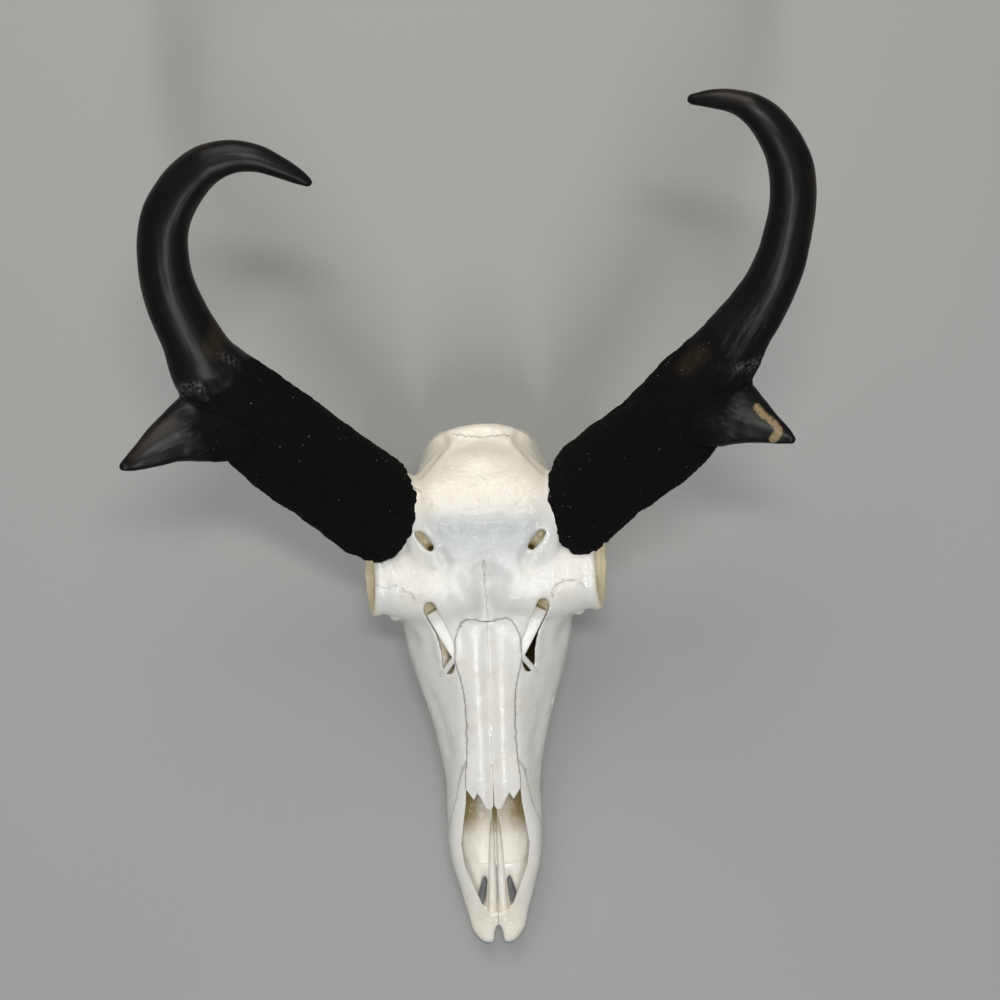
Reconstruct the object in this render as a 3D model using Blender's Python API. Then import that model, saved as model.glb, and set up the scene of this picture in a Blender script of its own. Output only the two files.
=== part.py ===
"""A pronghorn skull without its lower jaw, with both horn sheaths on it, lying face up on a table.

The bone comes apart into the cranium, two nasal bones, two premaxillae and twelve cheek teeth, and each
black horn sheath lifts off the bony core that it grew on. All dimensions are in millimetres in the skull's
own frame: x = 0 is its middle plane, +Y runs to the back of the head, +Z runs up, and z = 0 is the table.
Left and right are those of someone who looks down on it with the nose towards them. The last step turns
the millimetres into metres and puts the origin under the middle of the whole object.
"""

import math

import bmesh
import bpy
import numpy as np
from mathutils import Matrix, Vector

MM = 0.001
GAP = 0.35  # clearance between pieces that touch
VOXEL = 1.7  # grid of the fused bone
FINE_VOXEL = 1.2  # grid of its hollows and of the cut bone
BONE_TRIANGLES = 3700

# ---------------------------------------------------------------------------------------------- skull sizes
# The head from the back of the braincase to the nose. Each row is a y and the right half of the outline
# there, from the roof's midline round to the floor's: (x, z) pairs.
HEAD_SECTIONS = [
    (38, [(0, 79), (14, 77), (22, 62), (22, 42), (13, 26), (0, 24)]),
    (33, [(0, 85), (19, 81.5), (26.5, 62), (28, 40), (14, 24), (0, 22)]),
    (24, [(0, 92), (24, 87.5), (31.5, 66), (32, 40), (14, 25), (0, 22)]),
    (8, [(0, 102), (33, 98), (38, 72), (33, 44), (13, 31), (0, 27)]),
    (-10, [(0, 106), (38, 101), (37, 74), (28, 48), (12, 37), (0, 34)]),
    (-28, [(0, 101), (38, 97), (30, 74), (20, 54), (10, 43), (0, 41)]),
    (-46, [(0, 94), (34, 90), (32, 66), (22, 48), (12, 41), (0, 43)]),
    (-60, [(0, 88), (28, 84), (46, 62), (36, 32), (24, 13), (0, 30)]),
    (-78, [(0, 82), (22, 79), (43.5, 54), (38, 25), (26, 12), (0, 25)]),
    (-98, [(0, 75), (17.5, 72.5), (38.5, 47), (36, 23), (24, 12), (0, 24)]),
    (-116, [(0, 69), (15, 66.5), (33.5, 42), (31.5, 22), (21, 12), (0, 24)]),
    (-136, [(0, 62.5), (15, 60), (29, 38), (26, 21), (17, 14), (0, 20)]),
    (-156, [(0, 56), (16, 54), (26, 37), (24.5, 23), (16, 15), (0, 19)]),
    (-172, [(0, 50), (17, 48.5), (25.8, 36), (25, 23), (15, 15), (0, 18.5)]),
    (-187, [(0, 43.5), (20, 42), (26.4, 32), (24.5, 21), (15, 14), (0, 17.5)]),
    (-202, [(0, 36), (19.5, 35), (25, 27), (22, 18), (13, 12.5), (0, 16)]),
    (-216, [(0, 29), (16, 28.5), (21.6, 22), (18.5, 15.5), (11, 11), (0, 14)]),
    (-230, [(0, 22), (13, 22), (18.2, 18), (15.5, 13), (9, 9), (0, 11)]),
    (-241, [(0, 17.5), (12, 17.5), (15.8, 14.5), (13, 10.5), (7, 8), (0, 9)]),
    (-248, [(0, 15), (9, 15.5), (12, 13), (10, 9.5), (5, 8), (0, 8.5)]),
    (-251.5, [(0, 13.5), (6, 14), (8, 12), (7, 10), (4, 9), (0, 9.5)]),
]

# The nose's hollow, in the same form. It opens upwards in front of the nasal bones.
NOSE_HOLLOW_SECTIONS = [
    (-46, [(0, 72), (8, 70), (13, 60), (11, 48), (6, 46), (0, 46)]),
    (-58, [(0, 81), (19, 78), (28, 66), (22, 48), (9, 38), (0, 36)]),
    (-70, [(0, 80), (21, 77), (32, 62), (24, 44), (10, 33), (0, 31)]),
    (-84, [(0, 76), (19, 73.5), (31, 54), (24, 36), (10, 30), (0, 29)]),
    (-104, [(0, 69), (13, 66.5), (28, 46), (22, 32), (10, 28), (0, 28)]),
    (-130, [(0, 60.5), (11, 58), (24.5, 39), (20, 29), (10, 26), (0, 26)]),
    (-156, [(0, 52), (12, 50.5), (21.5, 37), (18, 26), (10, 23), (0, 23)]),
    (-172, [(0, 46), (15, 44), (21.5, 34), (18.5, 25), (10, 22), (0, 22)]),
    (-187, [(0, 40), (16.5, 38), (21.8, 30), (18.5, 23), (10, 20.5), (0, 20.5)]),
    (-202, [(0, 33), (15, 31.5), (20, 26), (16.5, 20.5), (9, 18.5), (0, 18.5)]),
    (-215, [(0, 27), (12, 26), (15.5, 22), (12.5, 18), (7, 16.5), (0, 16.5)]),
    (-226, [(0, 24), (8, 23), (10.5, 20), (9, 16.5), (5, 15.5), (0, 15.5)]),
    (-233, [(0, 22), (4, 21), (5, 19), (4, 17.5), (2, 17), (0, 17)]),
]

# Seen from above: the right half of the nasal bones from their tips round to the back, then the right edge
# of the opening in front of them.
NASAL_OUTLINE = [
    (1.5, -169.5), (3.8, -169.5), (8.7, -160), (10.9, -163.7), (14.9, -157.5), (13.6, -136), (13.1, -122),
    (13.4, -110), (14.8, -98), (17.5, -86), (17, -73), (12.5, -63.5), (7.5, -62),
]
NOSE_OPENING = [
    (4.5, -233), (8.5, -228), (11.5, -220), (14.8, -211), (17.6, -203), (18.9, -190), (17.2, -177.5),
    (15.4, -166),
]
# Seen from the side: (y, z) along the seam between the premaxillae and the rest.
PREMAXILLA_SEAM = [
    (-139, 66), (-141, 59), (-150, 50), (-165, 42), (-178, 34), (-195, 24), (-207, 17), (-207, 0),
]

TOOTH_NAMES = ("premolar_2", "premolar_3", "premolar_4", "molar_1", "molar_2", "molar_3")
TOOTH_LENGTHS = (8.0, 9.0, 9.5, 12.0, 14.0, 15.5)
TOOTH_WIDTHS = (7.0, 8.5, 9.5, 11.5, 12.5, 12.0)
TOOTH_ROW_FRONT = (24.0, -122.0)
TOOTH_ROW_BACK = (31.0, -52.5)
TOOTH_TOP = 20.0

ORBIT_CENTRE = Vector((59.5, -38, 73.5))
ORBIT_RADIUS = 17.5
RIM_RADIUS = 20.0
RIM_BEAD = 2.8
# The shelf from the forehead out to the eye socket: x, middle y, middle z, half length, half height.
EYE_SHELF = [
    (8, -34, 72, 34, 24), (24, -36, 73, 31, 24.5), (40, -37.5, 73, 26.5, 24), (52, -38, 73.5, 22.5, 22.5),
    (59.5, -38, 73.5, 20.5, 20.5),
]

# Horn sheaths: (x, y, z, width of the broad face) along the middle of each, from the base to the tip.
LEFT_BEAM = [
    (-53, -3.5, 95, 53), (-58, -0.5, 101, 53), (-77, 15, 121, 51.5), (-98, 33, 148, 50.5),
    (-115, 50, 168, 44.5), (-128, 67, 182, 36), (-134, 81, 190, 29), (-141, 100, 200, 26),
    (-143, 118, 208, 24), (-140, 134, 215, 23.2), (-131, 147, 221, 21.6), (-120, 155.5, 226, 19),
    (-108, 159, 228, 15.6), (-96, 158, 228, 12.6), (-86, 154, 226, 10), (-78, 150, 224, 7.4),
    (-73, 147, 223, 4.5),
]
RIGHT_BEAM = [
    (50.5, -1.5, 93.5, 52), (55, 2, 100, 51), (68, 13, 119, 49), (90, 29, 147, 48.5), (104, 45, 166, 44.8),
    (118, 64, 180, 34.6), (125, 75, 188, 29.6), (135, 89, 196, 26.1), (142, 103, 204, 24.1),
    (146, 118, 211, 22.2), (148, 132, 217, 21.5), (147, 145, 222, 21), (143, 156, 226, 19),
    (136, 166, 229, 16.7), (129, 172, 230, 14), (121, 176, 229, 11), (111, 178, 227, 8.6),
    (102, 178.5, 225, 4.8),
]
LEFT_PRONG = [
    (-110, 49, 166, 30), (-122, 44, 173, 42), (-136, 38.5, 180, 34), (-146, 34, 185, 24.5),
    (-156, 28, 189, 16), (-163, 24, 191, 10), (-168, 21.5, 192, 5),
]
RIGHT_PRONG = [
    (100, 50, 164, 30), (111, 44.5, 170.5, 43), (120, 39, 176, 38), (128, 35, 180, 28),
    (137, 30, 184, 17), (144, 26, 187, 10), (148, 23.5, 189, 5),
]
BEAM_THICKNESS = ((0, 0.68), (0.35, 0.66), (0.5, 0.72), (0.65, 0.84), (1, 0.95))  # share of the broad face
PRONG_THICKNESS = ((0, 0.5), (0.5, 0.5), (1, 0.7))
# How far each open end's back runs ahead of its front, and its outer side ahead of its inner one, as shares
# of its width.
LEFT_SEAT = (0.3, 0.5)
RIGHT_SEAT = (0.65, 0.5)
CORE_LENGTH = 95.0
CORE_ROOT = 9.0  # how far a core starts below the sheath's open end, inside the bone
CORE_SHARE = 0.72  # of the sheath's width at the base


# ------------------------------------------------------------------------------------------- points on curves
def curve_through(points, count, closed=False):
    """`count` points, evenly spread over the spans of a Catmull-Rom curve through these points."""
    points = np.asarray(points, float)
    spans = len(points) if closed else len(points) - 1
    if not closed:
        points = np.vstack([2 * points[0] - points[1], points, 2 * points[-1] - points[-2]])
    at = np.linspace(0, spans, count, endpoint=not closed)
    span = np.minimum(at.astype(int), spans - 1)
    t = (at - span)[:, None]
    if closed:
        a, b, c, d = (points[(span + k) % len(points)] for k in (-1, 0, 1, 2))
    else:
        a, b, c, d = (points[span + k] for k in range(4))
    return 0.5 * (2 * b + (c - a) * t + (2 * a - 5 * b + 4 * c - d) * t**2 + (3 * b - a - 3 * c + d) * t**3)


def outline_rings(sections, steps, corners):
    """Closed cross-sections through these half outlines, `steps` of them, each with that many corners."""
    rows = np.array([[y] + [value for pair in half for value in pair] for y, half in sections], float)
    rings = []
    for row in curve_through(rows, steps):
        half = row[1:].reshape(-1, 2)
        ring = np.vstack([half, half[-2:0:-1] * (-1, 1)])
        ring = curve_through(ring, corners, closed=True)
        rings.append(np.column_stack([ring[:, 0], np.full(corners, row[0]), ring[:, 1]]))
    return rings


def limb_rings(path, thickness, steps, corners, grow=0.0, seat=(0.0, 0.0)):
    """Oval cross-sections along a path of (x, y, z, width), whose broad face lies level.

    A seat turns the first ones in plan by its first share and lays them flatter by its second. It fades out
    a third of the way along.
    """
    rows = curve_through(path, steps)
    middles = rows[:, :3]
    ahead = np.gradient(middles, axis=0)
    turn = np.linspace(0, 2 * math.pi, corners, endpoint=False)
    rings = []
    for i, row in enumerate(rows):
        along = Vector(ahead[i]).normalized()
        across = along.cross(Vector((0, 0, 1))).normalized()
        up = across.cross(along)
        turned, laid = (share * max(0.0, 1 - 3 * i / steps) for share in seat)
        across = across + Vector((along.x, along.y, 0.3 * along.z)) * math.copysign(turned, across.y)
        up = up - along * laid
        share = np.interp(i / (steps - 1), *zip(*thickness))
        broad, thin = row[3] / 2 + grow, row[3] / 2 * share + grow
        rings.append(
            [Vector(middles[i]) + across * broad * math.cos(a) + up * thin * math.sin(a) for a in turn]
        )
    return rings


# ------------------------------------------------------------------------------------------------ mesh shapes
def new_object(name, bm):
    bmesh.ops.recalc_face_normals(bm, faces=bm.faces)
    mesh = bpy.data.meshes.new(name)
    bm.to_mesh(mesh)
    bm.free()
    obj = bpy.data.objects.new(name, mesh)
    bpy.context.scene.collection.objects.link(obj)
    return obj


def loft(bm, rings):
    """A closed body through these rings: the first is drawn, each next one is extruded from the last."""
    corners = len(rings[0])
    ring = bmesh.ops.create_circle(bm, segments=corners, radius=1)["verts"]
    start = ring
    for vert, place in zip(ring, rings[0]):
        vert.co = place
    for places in rings[1:]:
        edges = [bm.edges.get((ring[i], ring[i - 1])) for i in range(corners)]
        made = bmesh.ops.extrude_edge_only(bm, edges=edges)["geom"]
        fresh = {v for v in made if isinstance(v, bmesh.types.BMVert)}
        ring = [next(w for e in v.link_edges if (w := e.other_vert(v)) in fresh) for v in ring]
        for vert, place in zip(ring, places):
            vert.co = place
    bm.faces.new(start)
    bm.faces.new(ring)


def limb(bm, path, thickness=((0, 1), (1, 1)), steps=12, corners=12, grow=0.0, seat=(0.0, 0.0)):
    loft(bm, limb_rings(path, thickness, steps, corners, grow, seat))


def ball(bm, centre, radii, turn=(0, 0, 0)):
    """An ellipsoid of these three radii, turned by these degrees about X, Y and Z."""
    place = Matrix.Translation(centre)
    for angle, axis in zip(turn, "XYZ"):
        place = place @ Matrix.Rotation(math.radians(angle), 4, axis)
    bmesh.ops.create_uvsphere(
        bm, u_segments=20, v_segments=12, radius=1, matrix=place @ Matrix.Diagonal((*radii, 1))
    )


def cone(bm, start, end, start_radius, end_radius, corners=20):
    start, end = Vector(start), Vector(end)
    along = end - start
    place = Matrix.Translation((start + end) / 2) @ along.to_track_quat("Z", "Y").to_matrix().to_4x4()
    bmesh.ops.create_cone(
        bm,
        cap_ends=True,
        segments=corners,
        radius1=start_radius,
        radius2=end_radius,
        depth=along.length,
        matrix=place,
    )


def prism(bm, outline, low, high, along="Z"):
    """An outline of (x, y) pairs carried from z = low to high, or of (y, z) pairs from x = low to high."""
    places = [(low, a, b) if along == "X" else (a, b, low) for a, b in outline]
    face = bm.faces.new([bm.verts.new(p) for p in places])
    made = bmesh.ops.extrude_face_region(bm, geom=[face])["geom"]
    shift = (high - low, 0, 0) if along == "X" else (0, 0, high - low)
    bmesh.ops.translate(bm, verts=[v for v in made if isinstance(v, bmesh.types.BMVert)], vec=shift)


def grown(outline, gap):
    """An anticlockwise outline with every edge moved outwards by a gap."""
    points = [Vector(p) for p in outline]
    result = []
    for before, point, after in zip(points[-1:] + points[:-1], points, points[1:] + points[:1]):
        arriving, leaving = (point - before).normalized(), (after - point).normalized()
        first, second = Vector((arriving.y, -arriving.x)), Vector((leaving.y, -leaving.x))
        result.append(tuple(point + (first + second) * gap / max(0.3, 1 + first.dot(second))))
    return result


def both_sides(bm, make, *arguments, **options):
    """Makes a shape and its mirror image across the skull's middle plane."""
    before = set(bm.verts)
    make(bm, *arguments, **options)
    made = [v for v in bm.verts if v not in before]
    inside = set(made)
    geometry = made + [f for f in bm.faces if f.verts[0] in inside]
    copy = bmesh.ops.duplicate(bm, geom=geometry)["geom"]
    for vert in copy:
        if isinstance(vert, bmesh.types.BMVert):
            vert.co.x = -vert.co.x


# --------------------------------------------------------------------------------------------- modifier steps
def apply_modifiers(obj):
    evaluated = obj.evaluated_get(bpy.context.evaluated_depsgraph_get())
    mesh = bpy.data.meshes.new_from_object(evaluated)
    obj.modifiers.clear()
    obj.data = mesh
    return obj


def fuse(obj, voxel, smoothing):
    """Overlapping bodies become one even skin, with their creases softened."""
    remesh = obj.modifiers.new("fuse", "REMESH")
    remesh.mode = "VOXEL"
    remesh.voxel_size = voxel
    if smoothing:
        soften = obj.modifiers.new("soften", "SMOOTH")
        soften.factor = 0.5
        soften.iterations = smoothing
    return apply_modifiers(obj)


def combine(obj, other, operation):
    """A Boolean of two objects. The second one is used up."""
    step = obj.modifiers.new(operation.lower(), "BOOLEAN")
    step.operation = operation
    step.solver = "EXACT"
    step.object = other
    apply_modifiers(obj)
    bpy.data.objects.remove(other)
    return obj


def thin_out(obj, triangles):
    """Fewer triangles, with the shape kept."""
    obj.modifiers.new("triangles", "TRIANGULATE")
    apply_modifiers(obj)
    share = obj.modifiers.new("share", "DECIMATE")
    share.ratio = min(1.0, triangles / len(obj.data.polygons))
    return apply_modifiers(obj)


# -------------------------------------------------------------------------------------------------- the bones
def add_braincase(bm):
    ball(bm, (0, 2, 68), (37, 35, 32), (18, 0, 0))
    crest = [(29, 24, 52, 8), (27, 27, 64, 8), (21.5, 32.5, 75.5, 7.5), (11, 36.5, 79.5, 7), (0, 37.5, 81, 7)]
    both_sides(bm, limb, crest, steps=14)
    both_sides(bm, ball, (13, 29, 12.8), (8, 10, 13.3), (-20, 0, 0))
    behind_jaw = [(27, 16, 40, 20), (26, 18, 24, 15), (25, 20, 10, 10), (24.5, 21, 0, 6)]
    both_sides(bm, limb, behind_jaw, ((0, 0.7), (1, 0.8)))
    both_sides(bm, ball, (19, 5, 22), (8, 13, 14), (0, 0, 10))
    loft(bm, outline_rings([
        (32, [(0, 24), (9, 22), (12, 16), (9, 10), (4, 9), (0, 9)]),
        (20, [(0, 34), (11, 30), (12, 24), (9, 17), (4, 16), (0, 16)]),
        (0, [(0, 40), (10, 38), (11, 32), (8, 26), (4, 25), (0, 25)]),
        (-20, [(0, 48), (9, 46), (9, 40), (7, 34), (3, 33), (0, 33)]),
        (-40, [(0, 54), (8, 52), (8, 46), (6, 42), (3, 41), (0, 41)]),
    ], 12, 20))


def add_eye_socket(bm):
    """The frontal shelf out to the eye socket, its rim, the bar behind it and the arch under it."""
    rings = []
    for x, y, z, long, tall in curve_through(EYE_SHELF, 14):
        rings.append([
            (x - 4 * math.sin(a), y + long * math.cos(a), z + tall * math.sin(a))
            for a in np.linspace(0, 2 * math.pi, 24, endpoint=False)
        ])
    loft(bm, rings)
    rim(bm)
    arch = [
        (44, -57, 47, 22), (53, -49, 50, 16), (57, -38, 50, 13), (57, -18, 49.5, 11), (51.5, 0, 50, 11),
        (40, 12, 51, 16),
    ]
    limb(bm, arch, ((0, 0.7), (1, 0.6)), steps=16)
    limb(bm, [(57, -20, 56, 8), (56.5, -16, 72, 8), (54, -13, 92, 14)], steps=6)


def rim(bm):
    """The rounded bead round the eye socket, as two half rings."""
    tilt = Matrix.Rotation(math.radians(-11), 4, "Y")
    turn = np.linspace(0, 2 * math.pi, 25)
    bead = np.linspace(0, 2 * math.pi, 10, endpoint=False)
    rings = []
    for a in turn:
        out = tilt @ Vector((0, math.cos(a), math.sin(a)))
        side = tilt @ Vector((1, 0, 0))
        centre = ORBIT_CENTRE + out * RIM_RADIUS
        rings.append([centre + (out * math.cos(b) + side * math.sin(b)) * RIM_BEAD for b in bead])
    loft(bm, rings[:13])
    loft(bm, rings[12:])


def add_palate(bm):
    wing = [(13, -64, 26, 9), (12.5, -50, 26, 10), (11.5, -38, 30, 12), (10.5, -26, 36, 12)]
    both_sides(bm, limb, wing, ((0, 0.5), (1, 0.4)))


def bone_blank():
    """The whole skull as one body, before its hollows are cut."""
    bm = bmesh.new()
    loft(bm, outline_rings(HEAD_SECTIONS, 70, 40))
    add_braincase(bm)
    both_sides(bm, add_eye_socket)
    add_palate(bm)
    both_sides(bm, limb, [(36, -8, 80, 42), (50, -3, 94, 48)], ((0, 0.7), (1, 0.66)))
    return fuse(new_object("bone", bm), VOXEL, 4)


def hollows():
    """Everything that is open in the skull, as bodies to cut away."""
    bm = bmesh.new()
    loft(bm, outline_rings(NOSE_HOLLOW_SECTIONS, 48, 24))
    bowl_place = ORBIT_CENTRE + Vector((6, 0, 0))
    both_sides(bm, ball, bowl_place, (36, ORBIT_RADIUS, ORBIT_RADIUS), (0, -11, 6))
    both_sides(bm, limb, [(47, -20, 40, 14), (48, -8, 60, 17), (46, 3, 72, 12)], ((0, 1.2), (1, 1.2)))
    both_sides(bm, limb, [(46, -2, 30, 18), (47, -4, 62, 18)], ((0, 1.5), (1, 1.5)))
    ball(bm, (0, 1, 67), (30, 28, 25), (18, 0, 0))
    limb(bm, [(0, 18, 54, 20), (0, 30, 38, 21), (0, 52, 24, 23)])
    limb(bm, [(0, -40, 20, 17), (0, -48, 36, 18), (0, -58, 48, 18)], ((0, 1.0), (1, 1.2)))
    slit = [(6.2, -209, 18, 3.5), (7.2, -216, 16, 5.5), (8.6, -224, 15, 6), (9, -235, 13, 3.5)]
    both_sides(bm, limb, slit, ((0, 3), (1, 3)), steps=10)
    limb(bm, [(0, -239, 12, 2), (0, -246, 12, 5), (0, -258, 12, 8)], ((0, 4), (1, 4)))
    brow_pit = [(32, -18, 96, 4), (29, -23, 103, 7), (26, -27, 112, 8)]
    both_sides(bm, limb, brow_pit, ((0, 0.8), (1, 0.8)), steps=6)
    both_sides(bm, cone, (24, 8, 37), (46, 12, 42), 3.5, 5)
    both_sides(bm, cone, (24, -108, 42), (44, -118, 38), 3, 3.4)
    both_sides(bm, prism, [(29, -50), (32, -50), (31.5, -55), (29, -58), (28.5, -55)], 70, 100)
    both_sides(bm, prism, [(26, -69), (28, -72), (27, -80), (25, -88.5), (20, -83.5), (22, -77)], 62, 95)
    both_sides(bm, prism, [(18.5, -87), (23, -91.5), (21.5, -95), (18, -94)], 60, 95)
    return bm


def nose_opening():
    """The opening in front of the nasal bones, cut down from above to the slope of the snout's sides."""
    bm = bmesh.new()
    edge = [(0, -234)] + NOSE_OPENING + NASAL_OUTLINE[4::-1] + [(0, -167)]
    prism(bm, edge + [(-x, y) for x, y in edge[-2:0:-1]], 0, 80)
    for vert in bm.verts:
        if vert.co.z < 1:
            vert.co.z = 36 + (vert.co.y + 166) * 0.29
    return new_object("nose opening", bm)


def nasal_half(gap):
    """The right half's outline. A grown one also crosses the middle."""
    middle = -1.0 if gap else GAP / 2
    return grown([(middle, -166.5), *NASAL_OUTLINE, (middle, -66.5)], gap)


def premaxilla_region(name, gap, side=1):
    bm = bmesh.new()
    outline = [*PREMAXILLA_SEAM, (-270, 0), (-270, 80), (-139, 80)][::-1]
    outline = [(y, z) for y, z in grown([(y, z) for y, z in outline], gap)]
    low, high = (-50, 50) if gap else sorted((side * GAP / 2, side * 50))
    prism(bm, outline, low, high, along="X")
    return new_object(name, bm)


def prism_object(name, outline, low, high):
    bm = bmesh.new()
    prism(bm, outline, low, high)
    return new_object(name, bm)


# -------------------------------------------------------------------------------------------------- the teeth
def tooth_rings(index, side, gap=0.0):
    """Level cross-sections of one cheek tooth, from its chewing face up to the end of its root."""
    front, back = Vector(TOOTH_ROW_FRONT), Vector(TOOTH_ROW_BACK)
    before = sum(TOOTH_LENGTHS[:index]) + GAP * index
    length, width = TOOTH_LENGTHS[index], TOOTH_WIDTHS[index]
    row = (back - front).normalized()
    centre = front + row * (before + length / 2)
    outward = Vector((row.y, -row.x))
    lobes = 2 if index > 2 else 1
    turn = np.linspace(0, 2 * math.pi, 12, endpoint=False)
    levels = [(0, 0.97), (5, 1.0), (12, 0.96), (TOOTH_TOP, 0.7)]
    if gap:
        levels[0] = (-2, 0.97)
        levels[-1] = (TOOTH_TOP + gap, 0.7)
    rings = []
    for z, share in levels:
        ring = []
        for a in turn:
            u = math.copysign(abs(math.cos(a)) ** 0.6, math.cos(a))
            v = math.copysign(abs(math.sin(a)) ** 0.7, math.sin(a))
            waist = 1 - 0.12 * (lobes - 1) * (1 - abs(u)) ** 2
            along = u * (length / 2 * share + gap)
            across = v * (width / 2 * share * waist + gap)
            place = centre + row * along + outward * across
            ring.append((side * place.x, place.y, z))
        rings.append(ring)
    return rings


def tooth(index, side, gap=0.0):
    bm = bmesh.new()
    loft(bm, tooth_rings(index, side, gap))
    return new_object("tooth", bm)


# -------------------------------------------------------------------------------------------------- the horns
def horn_envelope(beam, seat, gap=0.0):
    """The shaft and upper tine of a horn as a solid. A grown one also reaches past the open end."""
    first, second = Vector(beam[0][:3]), Vector(beam[1][:3])
    start = first - (second - first).normalized() * gap
    bm = bmesh.new()
    limb(bm, [(*start, beam[0][3]), *beam[1:]], BEAM_THICKNESS, 29, 12, gap, seat)
    return new_object("shaft", bm)


def horn_core(beam, seat, gap=0.0):
    """The bony core inside a horn, which starts inside the skull."""
    rows = curve_through(beam, 60)
    lengths = np.concatenate([[0], np.cumsum(np.linalg.norm(np.diff(rows[:, :3], axis=0), axis=1))])
    path = []
    for share in (0, 0.2, 0.4, 0.6, 0.8, 0.93, 1):
        at = [np.interp(share * CORE_LENGTH, lengths, rows[:, k]) for k in range(4)]
        path.append([*at[:3], at[3] * CORE_SHARE * (1 - 0.35 * share - 0.35 * share**8)])
    first, second = Vector(path[0][:3]), Vector(path[1][:3])
    inside = first - (second - first).normalized() * CORE_ROOT
    path.insert(0, [*inside, path[0][3]])
    if gap:
        end, last = Vector(path[-1][:3]), Vector(path[-2][:3])
        path[-1][:3] = end + (end - last).normalized() * gap
    bm = bmesh.new()
    limb(bm, path, ((0, 0.62), (1, 0.5)), 9, 10, gap, [share * 0.8 for share in seat])
    return new_object("core", bm)


def build_horn(name, beam, prong, seat):
    horn = horn_envelope(beam, seat)
    bm = bmesh.new()
    limb(bm, prong, PRONG_THICKNESS, 9, 10)
    combine(horn, new_object("prong", bm), "UNION")
    combine(horn, horn_core(beam, seat, GAP), "DIFFERENCE")
    horn.name = name
    return horn


# ------------------------------------------------------------------------------------------------ putting up
def copy_of(obj, name):
    twin = bpy.data.objects.new(name, obj.data.copy())
    bpy.context.scene.collection.objects.link(twin)
    return twin


def keep_largest_body(obj):
    """Leaves out the crumbs that a cut made."""
    bm = bmesh.new()
    bm.from_mesh(obj.data)
    left = set(bm.verts)
    bodies = []
    while left:
        body, edge = set(), [left.pop()]
        while edge:
            vert = edge.pop()
            body.add(vert)
            near = [e.other_vert(vert) for e in vert.link_edges]
            edge.extend(v for v in near if v in left)
            left.difference_update(near)
        bodies.append(body)
    largest = max(bodies, key=len)
    bmesh.ops.delete(bm, geom=[v for v in bm.verts if v not in largest], context="VERTS")
    bm.to_mesh(obj.data)
    bm.free()


def paint(obj, name, colour, roughness):
    material = bpy.data.materials.new(name)
    material.use_nodes = True
    shader = material.node_tree.nodes["Principled BSDF"]
    shader.inputs["Base Color"].default_value = (*colour, 1)
    shader.inputs["Roughness"].default_value = roughness
    obj.data.materials.clear()
    obj.data.materials.append(material)


def finish(obj, colour, roughness):
    keep_largest_body(obj)
    obj.data.name = obj.name
    for face in obj.data.polygons:
        face.use_smooth = True
    paint(obj, obj.name + " surface", colour, roughness)


def build_pieces():
    bone = bone_blank()
    cavities = fuse(new_object("cavities", hollows()), FINE_VOXEL, 0)
    combine(bone, cavities, "DIFFERENCE")
    fuse(bone, FINE_VOXEL, 2)
    thin_out(bone, BONE_TRIANGLES)
    combine(bone, nose_opening(), "DIFFERENCE")
    bars = bmesh.new()
    bar = [(2.7, -239, 13.5, 4), (2.8, -216, 16.5, 4), (2.8, -190, 20.5, 3.8), (2.6, -172, 23, 3)]
    both_sides(bars, limb, bar, ((0, 1.3), (1, 1.3)), 8, 8)
    combine(bone, new_object("bars", bars), "UNION")

    pieces = []
    for side, word in ((-1, "left"), (1, "right")):
        half = [(side * x, y) for x, y in nasal_half(0)]
        nasal = copy_of(bone, "nasal_" + word)
        pieces.append(combine(nasal, prism_object("cut", half, 34, 110), "INTERSECT"))
    for side in (-1, 1):
        half = [(side * x, y) for x, y in nasal_half(GAP)]
        combine(bone, prism_object("cut", half, 34, 110), "DIFFERENCE")
    for side, word in ((-1, "left"), (1, "right")):
        front = copy_of(bone, "premaxilla_" + word)
        pieces.append(combine(front, premaxilla_region("cut", 0, side), "INTERSECT"))
    combine(bone, premaxilla_region("cut", GAP), "DIFFERENCE")
    bone.name = "cranium"
    pieces.append(bone)

    for index, name in enumerate(TOOTH_NAMES):
        for side, word in ((-1, "left"), (1, "right")):
            combine(bone, tooth(index, side, GAP), "DIFFERENCE")
            grinder = tooth(index, side)
            grinder.name = name + "_" + word
            pieces.append(grinder)
    for name, beam, prong, seat in (
        ("horn_left", LEFT_BEAM, LEFT_PRONG, LEFT_SEAT),
        ("horn_right", RIGHT_BEAM, RIGHT_PRONG, RIGHT_SEAT),
    ):
        pieces.append(build_horn(name, beam, prong, seat))
        combine(bone, horn_envelope(beam, seat, GAP), "DIFFERENCE")
        keep_largest_body(bone)
        combine(bone, horn_core(beam, seat), "UNION")
    return pieces


def stand_on_origin(pieces):
    """Metres, with the origin under the middle of the whole object."""
    places = np.array([v.co for obj in pieces for v in obj.data.vertices])
    low, high = places.min(axis=0), places.max(axis=0)
    middle = Vector(((low[0] + high[0]) / 2, (low[1] + high[1]) / 2, low[2]))
    for obj in pieces:
        obj.data.transform(Matrix.Scale(MM, 4) @ Matrix.Translation(-middle))


def main():
    for obj in list(bpy.data.objects):
        bpy.data.objects.remove(obj)
    pieces = build_pieces()
    stand_on_origin(pieces)
    for obj in pieces:
        if obj.name.startswith("horn"):
            finish(obj, (0.02, 0.018, 0.017), 0.5)
        elif "molar" in obj.name:
            finish(obj, (0.75, 0.7, 0.58), 0.3)
        else:
            finish(obj, (0.86, 0.85, 0.8), 0.35)


main()
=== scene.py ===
"""A whitened pronghorn skull with both black horns, lying face up on a pale floor.

The bones, the teeth and the horn sheaths are made again here with their surface detail, each in the place of
its plain solid. Sizes are in millimetres in the skull's own frame: x = 0 is its middle plane, +Y runs to the
back of the head, +Z runs up, and z = 0 is the floor. Each finished piece is then put into the model's frame,
in metres.
"""

import math

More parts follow.
